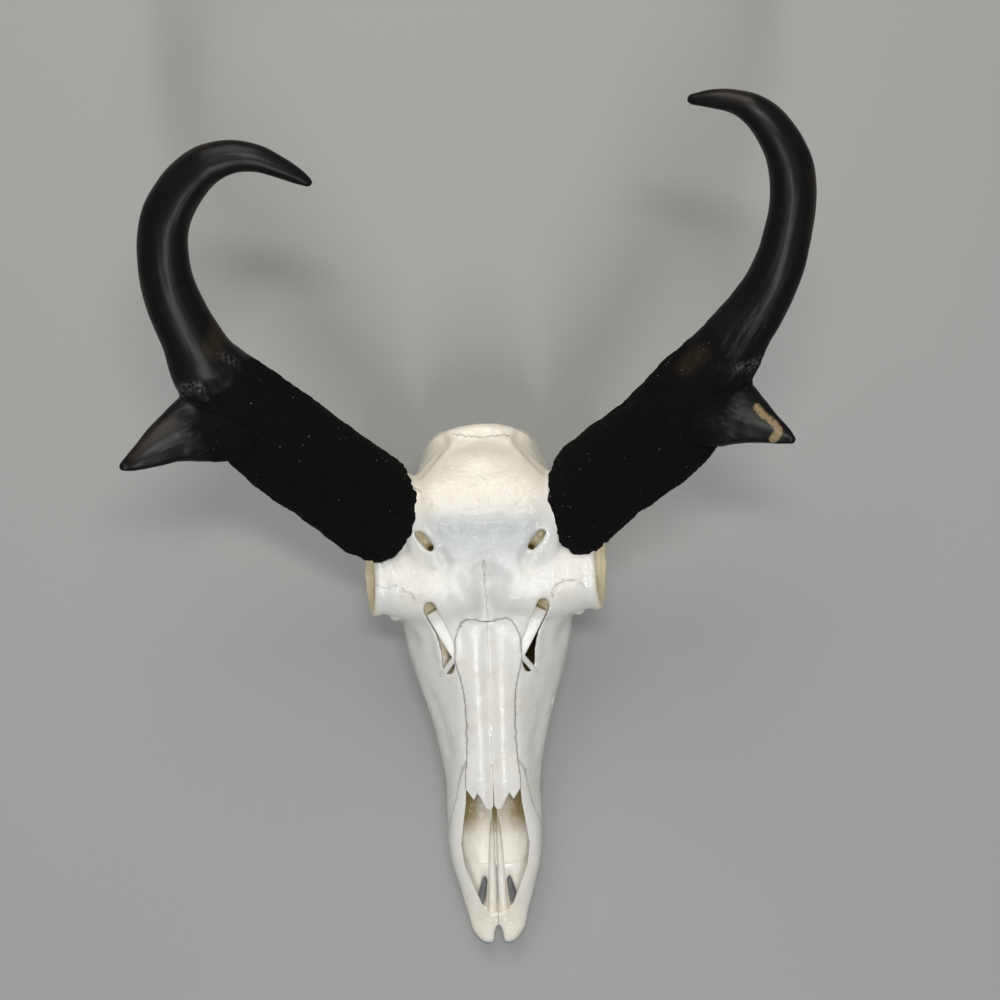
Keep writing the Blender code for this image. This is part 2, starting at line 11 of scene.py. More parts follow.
import bmesh
import bpy
import numpy as np
from mathutils import Matrix, Vector, noise
from mathutils.bvhtree import BVHTree
from mathutils.kdtree import KDTree


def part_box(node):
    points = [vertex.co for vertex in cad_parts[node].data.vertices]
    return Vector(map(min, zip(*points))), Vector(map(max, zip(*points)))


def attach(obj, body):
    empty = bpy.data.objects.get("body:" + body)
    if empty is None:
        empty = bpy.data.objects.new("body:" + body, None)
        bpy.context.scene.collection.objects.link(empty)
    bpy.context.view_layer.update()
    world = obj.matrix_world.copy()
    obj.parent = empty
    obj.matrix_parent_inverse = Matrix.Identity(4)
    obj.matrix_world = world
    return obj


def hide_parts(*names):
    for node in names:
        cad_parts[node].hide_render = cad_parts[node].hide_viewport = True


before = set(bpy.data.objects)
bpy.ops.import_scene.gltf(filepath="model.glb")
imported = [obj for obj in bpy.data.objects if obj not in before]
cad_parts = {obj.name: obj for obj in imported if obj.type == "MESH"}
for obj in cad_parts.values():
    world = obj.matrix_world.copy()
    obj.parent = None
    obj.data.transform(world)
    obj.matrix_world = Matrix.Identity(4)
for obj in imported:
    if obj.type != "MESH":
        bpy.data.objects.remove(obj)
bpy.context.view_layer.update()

MM = 0.001
GAP = 0.35  # clearance between neighbouring pieces
SUTURE_GAP = 0.2  # clearance between two bones
BLANK_VOXEL = 1.1  # grid of the fused bone
BLANK_SMOOTHING = 10  # rounds
BONE_VOXEL = 1.0  # grid of the hollows and of the cut bone
BONE_TRIANGLES = 185000
SHARP_EDGE = 48  # degrees, past which an edge isn't shaded round
HORN_VOXEL = 0.75  # grid of the horn sheaths

# ---------------- skull sizes
# The head from the back of the braincase to the nose: a y, then the right half of the outline there from the
# roof's midline round to the floor's, as (x, z) pairs.
HEAD_SECTIONS = [
    (38, [(0, 79), (14, 77), (22, 62), (22, 42), (13, 26), (0, 24)]),
    (33, [(0, 85), (19, 81.5), (26.5, 62), (28, 40), (14, 24), (0, 22)]),
    (24, [(0, 92), (24, 87.5), (31.5, 66), (32, 40), (14, 25), (0, 22)]),
    (8, [(0, 102), (33, 98), (38, 72), (33, 44), (13, 31), (0, 27)]),
    (-10, [(0, 106), (38, 101), (37, 74), (28, 48), (12, 37), (0, 34)]),
    (-28, [(0, 101), (38, 97), (30, 74), (20, 54), (10, 43), (0, 41)]),
    (-46, [(0, 94), (34, 90), (32, 66), (22, 48), (12, 41), (0, 43)]),
    (-60, [(0, 88), (28, 84), (46, 62), (36, 32), (24, 13), (0, 30)]),
    (-78, [(0, 82), (22, 79), (43.5, 54), (38, 25), (26, 12), (0, 25)]),
    (-98, [(0, 75), (17.5, 72.5), (38.5, 47), (36, 23), (24, 12), (0, 24)]),
    (-116, [(0, 69), (15, 66.5), (33.5, 42), (31.5, 22), (21, 12), (0, 24)]),
    (-136, [(0, 62.5), (15, 60), (29, 38), (26, 21), (17, 14), (0, 20)]),
    (-156, [(0, 56), (16, 54), (26, 37), (24.5, 23), (16, 15), (0, 19)]),
    (-172, [(0, 50), (17, 48.5), (25.8, 36), (25, 23), (15, 15), (0, 18.5)]),
    (-187, [(0, 43.5), (20, 42), (26.4, 32), (24.5, 21), (15, 14), (0, 17.5)]),
    (-202, [(0, 36), (19.5, 35), (25, 27), (22, 18), (13, 12.5), (0, 16)]),
    (-216, [(0, 29), (16, 28.5), (21.6, 22), (18.5, 15.5), (11, 11), (0, 14)]),
    (-230, [(0, 22), (13, 22), (18.2, 18), (15.5, 13), (9, 9), (0, 11)]),
    (-241, [(0, 17.5), (12, 17.5), (15.8, 14.5), (13, 10.5), (7, 8), (0, 9)]),
    (-248, [(0, 15), (9, 15.5), (12, 13), (10, 9.5), (5, 8), (0, 8.5)]),
    (-251.5, [(0, 13.5), (6, 14), (8, 12), (7, 10), (4, 9), (0, 9.5)]),
]
# The nose's hollow, in the same form.
NOSE_HOLLOW_SECTIONS = [
    (-46, [(0, 72), (8, 70), (13, 60), (11, 48), (6, 46), (0, 46)]),
    (-58, [(0, 81), (19, 78), (28, 66), (22, 48), (9, 38), (0, 36)]),
    (-70, [(0, 80), (21, 77), (32, 62), (24, 44), (10, 33), (0, 31)]),
    (-84, [(0, 76), (19, 73.5), (31, 54), (24, 36), (10, 30), (0, 29)]),
    (-104, [(0, 69), (13, 66.5), (28, 46), (22, 32), (10, 28), (0, 28)]),
    (-130, [(0, 60.5), (11, 58), (24.5, 39), (20, 29), (10, 26), (0, 26)]),
    (-156, [(0, 52), (12, 50.5), (21.5, 37), (18, 26), (10, 23), (0, 23)]),
    (-172, [(0, 46), (15, 44), (21.5, 34), (18.5, 25), (10, 22), (0, 22)]),
    (-187, [(0, 40), (16.5, 38), (21.8, 30), (18.5, 23), (10, 20.5), (0, 20.5)]),
    (-202, [(0, 33), (15, 31.5), (20, 26), (16.5, 20.5), (9, 18.5), (0, 18.5)]),
    (-215, [(0, 27), (12, 26), (15.5, 22), (12.5, 18), (7, 16.5), (0, 16.5)]),
    (-226, [(0, 24), (8, 23), (10.5, 20), (9, 16.5), (5, 15.5), (0, 15.5)]),
    (-233, [(0, 22), (4, 21), (5, 19), (4, 17.5), (2, 17), (0, 17)]),
]
# Seen from above: the right half of the nasal bones from their tips round to the back, then the right edge
# of the opening in front of them. The seam of the premaxillae is seen from the side, as (y, z) pairs.
NASAL_OUTLINE = [
    (1.5, -169.5), (3.8, -169.5), (8.7, -160), (10.9, -163.7), (14.9, -157.5), (13.6, -136), (13.1, -122),
    (13.4, -110), (14.8, -98), (17.5, -86), (17, -73), (13, -64.5), (7.5, -63), (3.5, -64.3),
]
NOSE_OPENING = [
    (4.5, -233), (8.5, -228), (11.5, -220), (14.8, -211), (17.6, -203), (18.9, -190), (17.2, -177.5),
    (15.4, -166),
]
PREMAXILLA_SEAM = [
    (-139, 66), (-141, 60), (-150, 54), (-165, 46.5), (-178, 38), (-195, 26), (-207, 17), (-207, 0),
]
TOOTH_NAMES = ("premolar_2", "premolar_3", "premolar_4", "molar_1", "molar_2", "molar_3")
TOOTH_LENGTHS = (8.0, 9.0, 9.5, 12.0, 14.0, 15.5)
TOOTH_WIDTHS = (7.0, 8.5, 9.5, 11.5, 12.5, 12.0)
TOOTH_ROW_FRONT = (24.0, -122.0)  # both ends of the right row, as (x, y)
TOOTH_ROW_BACK = (31.0, -52.5)
TOOTH_TOP = 20.0  # where the roots end, with the chewing faces at z = 0
ORBIT_CENTRE = Vector((59.5, -38, 73.5))
ORBIT_RADIUS = 17.5
RIM_RADIUS = 20.0  # of the ring around each eye socket
RIM_BEAD = 2.8  # half of that ring's thickness
# The shelf from the forehead out to the eye socket: x, middle y, middle z, half length, half height.
EYE_SHELF = [
    (8, -34, 72, 34, 24), (24, -36, 73, 31, 24.5), (40, -37.5, 73, 26.5, 24), (52, -38, 73.5, 22.5, 22.5),
    (59.5, -38, 73.5, 20.5, 20.5),
]
# Horn sheaths: (x, y, z, width of the broad face) along the middle of each, from the base to the tip.
LEFT_BEAM = [
    (-53, -3.5, 95, 53), (-58, -0.5, 101, 53), (-77, 15, 121, 51.5), (-98, 33, 148, 50.5),
    (-115, 50, 168, 44.5), (-128, 67, 182, 36), (-134, 81, 190, 29), (-141, 100, 200, 26),
    (-143, 118, 208, 24), (-140, 134, 215, 23.2), (-131, 147, 221, 21.6), (-120, 155.5, 226, 19),
    (-108, 159, 228, 15.6), (-96, 158, 228, 12.6), (-86, 154, 226, 10), (-78, 150, 224, 7.4),
    (-73, 147, 223, 4.5),
]
RIGHT_BEAM = [
    (50.5, -1.5, 93.5, 52), (55, 2, 100, 51), (68, 13, 119, 49), (90, 29, 147, 48.5), (104, 45, 166, 44.8),
    (118, 64, 180, 34.6), (125, 75, 188, 29.6), (135, 89, 196, 26.1), (142, 103, 204, 24.1),
    (146, 118, 211, 22.2), (148, 132, 217, 21.5), (147, 145, 222, 21), (143, 156, 226, 19),
    (136, 166, 229, 16.7), (129, 172, 230, 14), (121, 176, 229, 11), (111, 178, 227, 8.6),
    (102, 178.5, 225, 4.8),
]
LEFT_PRONG = [
    (-110, 49, 166, 30), (-122, 44, 173, 42), (-136, 38.5, 180, 34), (-146, 34, 185, 24.5),
    (-156, 28, 189, 16), (-163, 24, 191, 10), (-168, 21.5, 192, 5),
]
RIGHT_PRONG = [
    (100, 50, 164, 30), (111, 44.5, 170.5, 43), (120, 39, 176, 38), (128, 35, 180, 28),
    (137, 30, 184, 17), (144, 26, 187, 10), (148, 23.5, 189, 5),
]
BEAM_THICKNESS = ((0, 0.68), (0.35, 0.66), (0.5, 0.72), (0.65, 0.84), (1, 0.95))  # share of the broad face
PRONG_THICKNESS = ((0, 0.5), (0.5, 0.5), (1, 0.7))
BEAM_GRID = (174, 80)  # rings along each shaft and upper tine, and corners of a ring
# How far each open end's back runs ahead of its front, and its outer side ahead of its inner one, as shares
# of its width.
LEFT_SEAT = (0.3, 0.5)
RIGHT_SEAT = (0.65, 0.5)
CORE_LENGTH = 95.0
CORE_ROOT = 9.0  # how far a core starts below the sheath's open end, inside the bone
CORE_SHARE = 0.72  # of the sheath's width at the base
FORK = {-1: 128.0, 1: 122.0}  # how far along each horn the rough shaft ends
# Marks on the left (-1) and the right (1) horn, as paths with their reach: wrinkled crust in the fork, places
# worn pale, and brown streaks, of which the one along the left prong is a painted sheen.
CRUST = {
    -1: [([(-143, 55, 186), (-137, 57, 190), (-131, 58, 191)], 5.5), ([(-121, 73, 190), (-117, 70, 188)], 5)],
    1: [([(134, 61, 187), (129, 59, 188), (124, 60, 188)], 6), ([(131, 52, 186), (134, 48, 187)], 4)],
}
WORN = {
    -1: [],
    1: [([(132, 40), (135, 36), (138.5, 33.5), (141, 30), (141.5, 27), (139.5, 24)], 3.4)],
}
STREAKS_AND_SHEEN = {
    -1: [
        ([(-155, 96), (-158, 112), (-156, 126)], 7), ([(-127, 163), (-118, 166)], 5),
        # the next line's first mark, along the left prong, is a painted sheen
        ([(-148, 40), (-156, 36), (-163, 28)], 6), ([(-124, 74), (-119, 86)], 7),
    ],
    1: [
        ([(158, 118), (160, 130), (158, 142)], 7), ([(106, 66), (100, 60)], 7),
        ([(126, 177), (116, 181)], 6),
    ],
}
# The gap in front of the right eye socket, seen from above, as (x, y) pairs.
EYE_GAP = [
    (28, -53), (22.6, -66), (18.8, -75), (18.4, -81), (18.6, -89), (20.2, -92.8), (23.6, -92.6), (24.4, -86),
    (24.8, -79), (26.6, -71), (30.6, -63), (33, -57), (32, -53),
]
# Sutures and cracks as (x, y) pairs seen from above, with the size of their wriggle and their width.
SUTURES = (
    ([(-0.5, -38), (-0.2, -46), (0.3, -52), (0.2, -58), (0.8, -65)], 0.15, 0.32),
    ([(-57.8, -43), (-52.9, -44.7), (-46.9, -43.4), (-43, -45.5), (-39.2, -47.6), (-37.4, -50.7)], 0.8, 0.36),
    ([(53.5, -47.9), (46.7, -43.7), (41.8, -43.5), (35.8, -47.3), (34.6, -52.1)], 0.8, 0.36),
    ([(-14.9, 35.7), (-6, 33.9), (0.9, 33.2), (8, 34), (15, 33.7)], 0.8, 0.45),
    ([(-37.5, 8.6), (-35, 7.4), (-32.6, 5.6)], 0.3, 0.5),
)


# ---------------- points on curves
def curve_through(points, count, closed=False):
    """`count` points, evenly spread over the spans of a Catmull-Rom curve through these points."""
    points = np.asarray(points, float)
    spans = len(points) if closed else len(points) - 1
    if not closed:
        points = np.vstack([2 * points[0] - points[1], points, 2 * points[-1] - points[-2]])
    at = np.linspace(0, spans, count, endpoint=not closed)
    span = np.minimum(at.astype(int), spans - 1)
    t = (at - span)[:, None]
    if closed:
        a, b, c, d = (points[(span + k) % len(points)] for k in (-1, 0, 1, 2))
    else:
        a, b, c, d = (points[span + k] for k in range(4))
    return 0.5 * (2 * b + (c - a) * t + (2 * a - 5 * b + 4 * c - d) * t**2 + (3 * b - a - 3 * c + d) * t**3)


def outline_rings(sections, steps, corners):
    """Closed cross-sections through these half outlines, `steps` of them, each with that many corners."""
    rows = np.array([[y] + [value for pair in half for value in pair] for y, half in sections], float)
    rings = []
    for row in curve_through(rows, steps):
        half = row[1:].reshape(-1, 2)
        ring = np.vstack([half, half[-2:0:-1] * (-1, 1)])
        ring = curve_through(ring, corners, closed=True)
        rings.append(np.column_stack([ring[:, 0], np.full(corners, row[0]), ring[:, 1]]))
    return rings


def limb_frames(path, thickness, steps, seat=(0.0, 0.0)):
    """Middle, along, across, up, half breadth and half thickness at each step of a (x, y, z, width) path."""
    rows = curve_through(path, steps)
    ahead = np.gradient(rows[:, :3], axis=0)
    frames = []
    for i, row in enumerate(rows):
        along = Vector(ahead[i]).normalized()
        across = along.cross(Vector((0, 0, 1))).normalized()
        up = across.cross(along)
        turned, laid = (share * max(0.0, 1 - 3 * i / steps) for share in seat)
        across = across + Vector((along.x, along.y, 0.3 * along.z)) * math.copysign(turned, across.y)
        up = up - along * laid
        share = np.interp(i / (steps - 1), *zip(*thickness))
        frames.append((Vector(row[:3]), along, across, up, row[3] / 2, row[3] / 2 * share))
    return frames


def limb_rings(path, thickness, steps, corners, grow=0.0, seat=(0.0, 0.0)):
    """Oval cross-sections along a path of (x, y, z, width), whose broad face lies level."""
    turn = np.linspace(0, 2 * math.pi, corners, endpoint=False)
    return [
        [middle + across * (broad + grow) * math.cos(a) + up * (thin + grow) * math.sin(a) for a in turn]
        for middle, _, across, up, broad, thin in limb_frames(path, thickness, steps, seat)
    ]


# ---------------- mesh shapes
def new_object(name, bm):
    bmesh.ops.recalc_face_normals(bm, faces=bm.faces)
    mesh = bpy.data.meshes.new(name)
    bm.to_mesh(mesh)
    bm.free()
    obj = bpy.data.objects.new(name, mesh)
    bpy.context.scene.collection.objects.link(obj)
    return obj


def loft(bm, rings):
    """A closed body through these rings: the first is drawn, each next one is extruded from the last."""
    corners = len(rings[0])
    ring = bmesh.ops.create_circle(bm, segments=corners, radius=1)["verts"]
    start = ring
    for vert, place in zip(ring, rings[0]):
        vert.co = place
    for places in rings[1:]:
        edges = [bm.edges.get((ring[i], ring[i - 1])) for i in range(corners)]
        made = bmesh.ops.extrude_edge_only(bm, edges=edges)["geom"]
        fresh = {v for v in made if isinstance(v, bmesh.types.BMVert)}
        ring = [next(w for e in v.link_edges if (w := e.other_vert(v)) in fresh) for v in ring]
        for vert, place in zip(ring, places):
            vert.co = place
    bm.faces.new(start)
    bm.faces.new(ring)


def limb(bm, path, thickness=((0, 1), (1, 1)), steps=24, corners=24, grow=0.0, seat=(0.0, 0.0)):
    loft(bm, limb_rings(path, thickness, steps, corners, grow, seat))


def ball(bm, centre, radii, turn=(0, 0, 0)):
    """An ellipsoid of these three radii, turned by these degrees about X, Y and Z."""
    place = Matrix.Translation(centre)
    for angle, axis in zip(turn, "XYZ"):
        place = place @ Matrix.Rotation(math.radians(angle), 4, axis)
    bmesh.ops.create_uvsphere(
        bm, u_segments=40, v_segments=24, radius=1, matrix=place @ Matrix.Diagonal((*radii, 1))
    )


def cone(bm, start, end, start_radius, end_radius, corners=24):
    start, end = Vector(start), Vector(end)
    along = end - start
    place = Matrix.Translation((start + end) / 2) @ along.to_track_quat("Z", "Y").to_matrix().to_4x4()
    bmesh.ops.create_cone(
        bm,
        cap_ends=True,
        segments=corners,
        radius1=start_radius,
        radius2=end_radius,
        depth=along.length,
        matrix=place,
    )


def prism(bm, outline, low, high, along="Z"):
    """An outline of (x, y) pairs carried from z = low to high, or of (y, z) pairs from x = low to high."""
    places = [(low, a, b) if along == "X" else (a, b, low) for a, b in outline]
    face = bm.faces.new([bm.verts.new(p) for p in places])
    made = bmesh.ops.extrude_face_region(bm, geom=[face])["geom"]
    shift = (high - low, 0, 0) if along == "X" else (0, 0, high - low)
    bmesh.ops.translate(bm, verts=[v for v in made if isinstance(v, bmesh.types.BMVert)], vec=shift)


def solid(make, *arguments, **options):
    """A single shape as an object of its own."""
    bm = bmesh.new()
    make(bm, *arguments, **options)
    return new_object(make.__name__, bm)


def grown(outline, gap):
    """An anticlockwise outline with every edge moved outwards by a gap."""
    points = [Vector(p) for p in outline]
    result = []
    for before, point, after in zip(points[-1:] + points[:-1], points, points[1:] + points[:1]):
        arriving, leaving = (point - before).normalized(), (after - point).normalized()
        first, second = Vector((arriving.y, -arriving.x)), Vector((leaving.y, -leaving.x))
        result.append(tuple(point + (first + second) * gap / max(0.3, 1 + first.dot(second))))
    return result


def both_sides(bm, make, *arguments, **options):
    """Makes a shape and its mirror image across the skull's middle plane."""
    before = set(bm.verts)
    make(bm, *arguments, **options)
    made = [v for v in bm.verts if v not in before]
    inside = set(made)
    geometry = made + [f for f in bm.faces if f.verts[0] in inside]
    copy = bmesh.ops.duplicate(bm, geom=geometry)["geom"]
    for vert in copy:
        if isinstance(vert, bmesh.types.BMVert):
            vert.co.x = -vert.co.x


# ---------------- modifier steps
def apply_modifiers(obj):
    evaluated = obj.evaluated_get(bpy.context.evaluated_depsgraph_get())
    mesh = bpy.data.meshes.new_from_object(evaluated)
    obj.modifiers.clear()
    obj.data = mesh
    return obj


def fuse(obj, voxel, smoothing):
    """Overlapping bodies become one even skin, with their creases softened."""
    remesh = obj.modifiers.new("fuse", "REMESH")
    remesh.mode = "VOXEL"
    remesh.voxel_size = voxel
    if smoothing:
        soften = obj.modifiers.new("soften", "SMOOTH")
        soften.factor = 0.5
        soften.iterations = smoothing
    return apply_modifiers(obj)


def combine(obj, other, operation):
    """A Boolean of two closed objects. The second one is used up."""
    step = obj.modifiers.new(operation.lower(), "BOOLEAN")
    step.operation = operation
    step.solver = "MANIFOLD"
    step.object = other
    apply_modifiers(obj)
    bpy.data.objects.remove(other)
    return obj


def thin_out(obj, triangles):
    """Fewer triangles, with the shape kept."""
    obj.modifiers.new("triangles", "TRIANGULATE")
    apply_modifiers(obj)
    share = obj.modifiers.new("share", "DECIMATE")
    share.ratio = min(1.0, triangles / len(obj.data.polygons))
    return apply_modifiers(obj)


# ---------------- fine shape
def places_of(obj):
    flat = np.empty(len(obj.data.vertices) * 3)
    obj.data.vertices.foreach_get("co", flat)
    return flat.reshape(-1, 3)


def normals_of(obj):
    flat = np.empty(len(obj.data.vertices) * 3)
    obj.data.vertices.foreach_get("normal", flat)
    return flat.reshape(-1, 3)


def put_places(obj, places):
    obj.data.vertices.foreach_set("co", places.ravel())
    obj.data.update()


def distance_to(places, path, reach):
    """How far each place is from a path of points, up to a reach. Paths of (x, y) are measured from above."""
    rows = np.asarray(path, float)
    places = places[:, : rows.shape[1]]
    length = np.linalg.norm(np.diff(rows, axis=0), axis=1).sum() if len(rows) > 1 else 0
    if length:
        rows = curve_through(rows, max(2, int(length / (reach * 0.25))))
    low, high = rows.min(axis=0) - reach, rows.max(axis=0) + reach
    near = np.nonzero(np.all((places > low) & (places < high), axis=1))[0]
    best = np.full(len(near), reach**2)
    for row in rows:
        best = np.minimum(best, ((places[near] - row) ** 2).sum(axis=1))
    result = np.full(len(places), float(reach))
    result[near] = np.sqrt(best)
    return result


def fade(distance, reach):
    """1 at no distance, down to 0 at the reach, smoothly."""
    t = np.clip(distance / reach, 0, 1)
    return (1 - t * t) ** 2


def press(obj, path, depth, reach, mirrored=True):
    """Pushes the surface in along a path, or raises it where the depth is negative."""
    places, normals = places_of(obj), normals_of(obj)
    amount = fade(distance_to(places, path, reach), reach)
    if mirrored:
        twin = np.asarray(path, float) * ((-1,) + (1,) * (len(path[0]) - 1))
        amount = np.maximum(amount, fade(distance_to(places, twin, reach), reach))
    if len(path[0]) == 2:
        amount = amount * np.clip(normals[:, 2] * 2, 0, 1) * (places[:, 2] > 30)
    put_places(obj, places - normals * (amount * depth)[:, None])


def soften(obj, path, reach, rounds, mirrored=True):
    """Rounds the surface off along a path."""
    places = places_of(obj)
    weights = fade(distance_to(places, path, reach), reach)
    if mirrored:
        twin = np.asarray(path, float) * (-1, 1, 1)
        weights = np.maximum(weights, fade(distance_to(places, twin, reach), reach))
    group = obj.vertex_groups.new(name="soft")
    for index in np.nonzero(weights > 0.02)[0].tolist():
        group.add([index], float(weights[index]), "REPLACE")
    step = obj.modifiers.new("soft", "SMOOTH")
    step.factor = 0.5
    step.iterations = rounds
    step.vertex_group = group.name
    apply_modifiers(obj)
    obj.vertex_groups.clear()


def ripple(obj, size, depth, weight=None, stretch=(1, 1, 1), seed=0.0, places=None):
    """Moves the surface in and out by a smooth noise whose lumps are about this size."""
    at, normals = places_of(obj), normals_of(obj)
    source = at if places is None else places
    source = source / size * stretch + seed
    lumps = np.array([noise.noise(p) for p in source.tolist()])
    amount = lumps * depth * (1 if weight is None else weight)
    put_places(obj, at + normals * amount[:, None])


def store(obj, name, values):
    layer = obj.data.attributes.new(name, "FLOAT_VECTOR" if values.ndim == 2 else "FLOAT", "POINT")
    layer.data.foreach_set("vector" if values.ndim == 2 else "value", values.astype(np.float32).ravel())


def tree_of(obj):
    bm = bmesh.new()
    bm.from_mesh(obj.data)
    tree = BVHTree.FromBMesh(bm)
    bm.free()
    return tree


def roof(tree, x, y):
    """The height of the surface over a point."""
    hit = tree.ray_cast(Vector((x, y, 300)), Vector((0, 0, -1)))[0]
    return hit.z if hit else 0.0


# ---------------- the bones
def add_braincase(bm):
    ball(bm, (0, 2, 68), (37, 35, 32), (18, 0, 0))
    crest = [(29, 24, 52, 8), (27, 27, 64, 8), (21.5, 32.5, 75.5, 7.5), (11, 36.5, 79.5, 7), (0, 37.5, 81, 7)]
    both_sides(bm, limb, crest, steps=40)
    both_sides(bm, ball, (13, 29, 12.8), (8, 10, 13.3), (-20, 0, 0))
    process = [(27, 16, 40, 20), (26, 18, 24, 15), (25, 20, 10, 10), (24.5, 21, 0, 6)]
    both_sides(bm, limb, process, ((0, 0.7), (1, 0.8)))
    both_sides(bm, ball, (19, 5, 22), (8, 13, 14), (0, 0, 10))
    base = [
        (32, [(0, 24), (9, 22), (12, 16), (9, 10), (4, 9), (0, 9)]),
        (20, [(0, 34), (11, 30), (12, 24), (9, 17), (4, 16), (0, 16)]),
        (0, [(0, 40), (10, 38), (11, 32), (8, 26), (4, 25), (0, 25)]),
        (-20, [(0, 48), (9, 46), (9, 40), (7, 34), (3, 33), (0, 33)]),
        (-40, [(0, 54), (8, 52), (8, 46), (6, 42), (3, 41), (0, 41)]),
    ]
    loft(bm, outline_rings(base, 40, 40))


def add_eye_socket(bm):
    """The frontal shelf out to the eye socket, its rim, the bar behind it and the arch under it."""
    rings = []
    for x, y, z, long, tall in curve_through(EYE_SHELF, 40):
        rings.append([
            (x - 4 * math.sin(a), y + long * math.cos(a), z + tall * math.sin(a))
            for a in np.linspace(0, 2 * math.pi, 64, endpoint=False)
        ])
    loft(bm, rings)
    tilt = Matrix.Rotation(math.radians(-11), 4, "Y")
    side = tilt @ Vector((1, 0, 0))
    rings = []
    for a in np.linspace(0, 2 * math.pi, 73):
        out = tilt @ Vector((0, math.cos(a), math.sin(a)))
        centre = ORBIT_CENTRE + out * RIM_RADIUS
        rings.append([
            centre + (out * math.cos(b) + side * math.sin(b)) * RIM_BEAD
            for b in np.linspace(0, 2 * math.pi, 20, endpoint=False)
        ])
    loft(bm, rings[:37])
    loft(bm, rings[36:])
    arch = [
        (44, -57, 47, 22), (53, -49, 50, 16), (57, -38, 50, 13), (57, -18, 49.5, 11), (51.5, 0, 50, 11),
        (40, 12, 51, 16),
    ]
    limb(bm, arch, ((0, 0.7), (1, 0.6)), steps=50)
    limb(bm, [(57, -20, 56, 8), (56.5, -16, 72, 8), (54, -13, 92, 14)])


def add_palate(bm):
    plate = [(13, -64, 26, 9), (12.5, -50, 26, 10), (11.5, -38, 30, 12), (10.5, -26, 36, 12)]
    both_sides(bm, limb, plate, ((0, 0.5), (1, 0.4)))


def bone_blank():
    """The whole skull as one body, before its hollows are cut."""
    bm = bmesh.new()
    loft(bm, outline_rings(HEAD_SECTIONS, 180, 96))
    add_braincase(bm)
    both_sides(bm, add_eye_socket)
    add_palate(bm)
    both_sides(bm, limb, [(36, -8, 80, 40), (50, -3, 94, 44)], ((0, 0.7), (1, 0.66)))
    return fuse(new_object("bone", bm), BLANK_VOXEL, BLANK_SMOOTHING)


def hollows(tree):
    """Everything that is open in the skull, as bodies to cut away."""
    bm = bmesh.new()
    loft(bm, outline_rings(NOSE_HOLLOW_SECTIONS, 120, 60))
    bowl_place = ORBIT_CENTRE + Vector((6, 0, 2.2))
    both_sides(bm, ball, bowl_place, (36, ORBIT_RADIUS - 0.5, ORBIT_RADIUS - 2), (0, -11, 6))
    both_sides(bm, limb, [(47, -20, 40, 14), (48, -8, 60, 17), (46, 3, 72, 12)], ((0, 1.2), (1, 1.2)))
    both_sides(bm, limb, [(46, -2, 30, 18), (47, -4, 62, 18)], ((0, 1.5), (1, 1.5)))
    ball(bm, (0, 1, 67), (30, 28, 25), (18, 0, 0))
    limb(bm, [(0, 18, 54, 20), (0, 30, 38, 21), (0, 52, 24, 23)])
    limb(bm, [(0, -40, 20, 17), (0, -48, 36, 18), (0, -58, 48, 18)], ((0, 1.0), (1, 1.2)))
    slit = [(6.2, -210.5, 18, 1.8), (7.3, -217, 16, 3.4), (8.7, -225, 15, 4.6), (9, -232, 13, 2.6)]
    both_sides(bm, limb, slit, ((0, 3), (1, 3)))
    limb(bm, [(0, -239, 12, 2), (0, -246, 12, 5), (0, -258, 12, 8)], ((0, 4), (1, 4)))
    both_sides(bm, cone, (24, 8, 37), (46, 12, 42), 3.5, 5)
    both_sides(bm, cone, (24, -108, 42), (44, -118, 38), 3, 3.4)
    both_sides(bm, prism, grown(EYE_GAP, 0.2), 60, 95)
    for side in (-1, 1):
        # the pit over each eye, deeper towards the nose, with a small round hole at that end
        x, y = (-31.5, -19.6) if side < 0 else (28.2, -20.6)
        z = roof(tree, x, y)
        ball(bm, (x, y, z - 1.2), (2.5, 6.8, 4.2), (-12, 0, -side * 41))
        ball(bm, (x - side * 2.4, y - 3.2, z - 2.4), (2.2, 3.6, 4.4), (-12, 0, -side * 41))
        cone(bm, (x - side * 3.4, y - 4.2, z), (x - side * 4.5, y - 6, z - 14), 1.9, 1.8)
    cone(bm, (-24, -37, 96), (-24.5, -37.5, 78), 0.8, 0.8)
    return bm


def nose_opening():
    """The opening in front of the nasal bones, cut down from above to the slope of the snout's sides."""
    bm = bmesh.new()
    edge = [(0, -234)] + NOSE_OPENING + NASAL_OUTLINE[4::-1] + [(0, -167)]
    prism(bm, edge + [(-x, y) for x, y in edge[-2:0:-1]], 0, 80)
    for vert in bm.verts:
        if vert.co.z < 1:
            vert.co.z = 36 + (vert.co.y + 166) * 0.29 + max(0.0, -221 - vert.co.y) * 0.5
    return new_object("nose opening", bm)


def nasal_half():
    """The right nasal bone's outline, with a finely toothed edge against its neighbours."""
    edge = curve_through(NASAL_OUTLINE[1:], 120)
    ahead = np.gradient(edge, axis=0)
    ahead /= np.linalg.norm(ahead, axis=1)[:, None]
    coarse = np.array([noise.noise((k / 2.5, 4.5, 0)) for k in range(len(edge))])
    fine = np.array([noise.noise((k / 1.1, 1.5, 0)) for k in range(len(edge))])
    sway = (coarse + 0.5 * fine) * np.clip((edge[:, 1] + 157) / 20, 0.1, 1) * 0.4
    edge = edge + ahead[:, ::-1] * (1, -1) * sway[:, None]
    middle = [(0.06, -64.7), (0.05, -120), (0.08, -145), (0.15, -158)]
    return [(0.35, -168.6), (1.6, -169.6), *map(tuple, edge), *middle]


def premaxilla_region(gap, side=1):
    """All that lies in front of the seam: on one side, or on both with a gap around them."""
    outline = grown([*PREMAXILLA_SEAM, (-270, 0), (-270, 80), (-139, 80)][::-1], gap)
    low, high = (-50, 50) if gap else sorted((side * GAP / 2, side * 50))
    return solid(prism, outline, low, high, along="X")


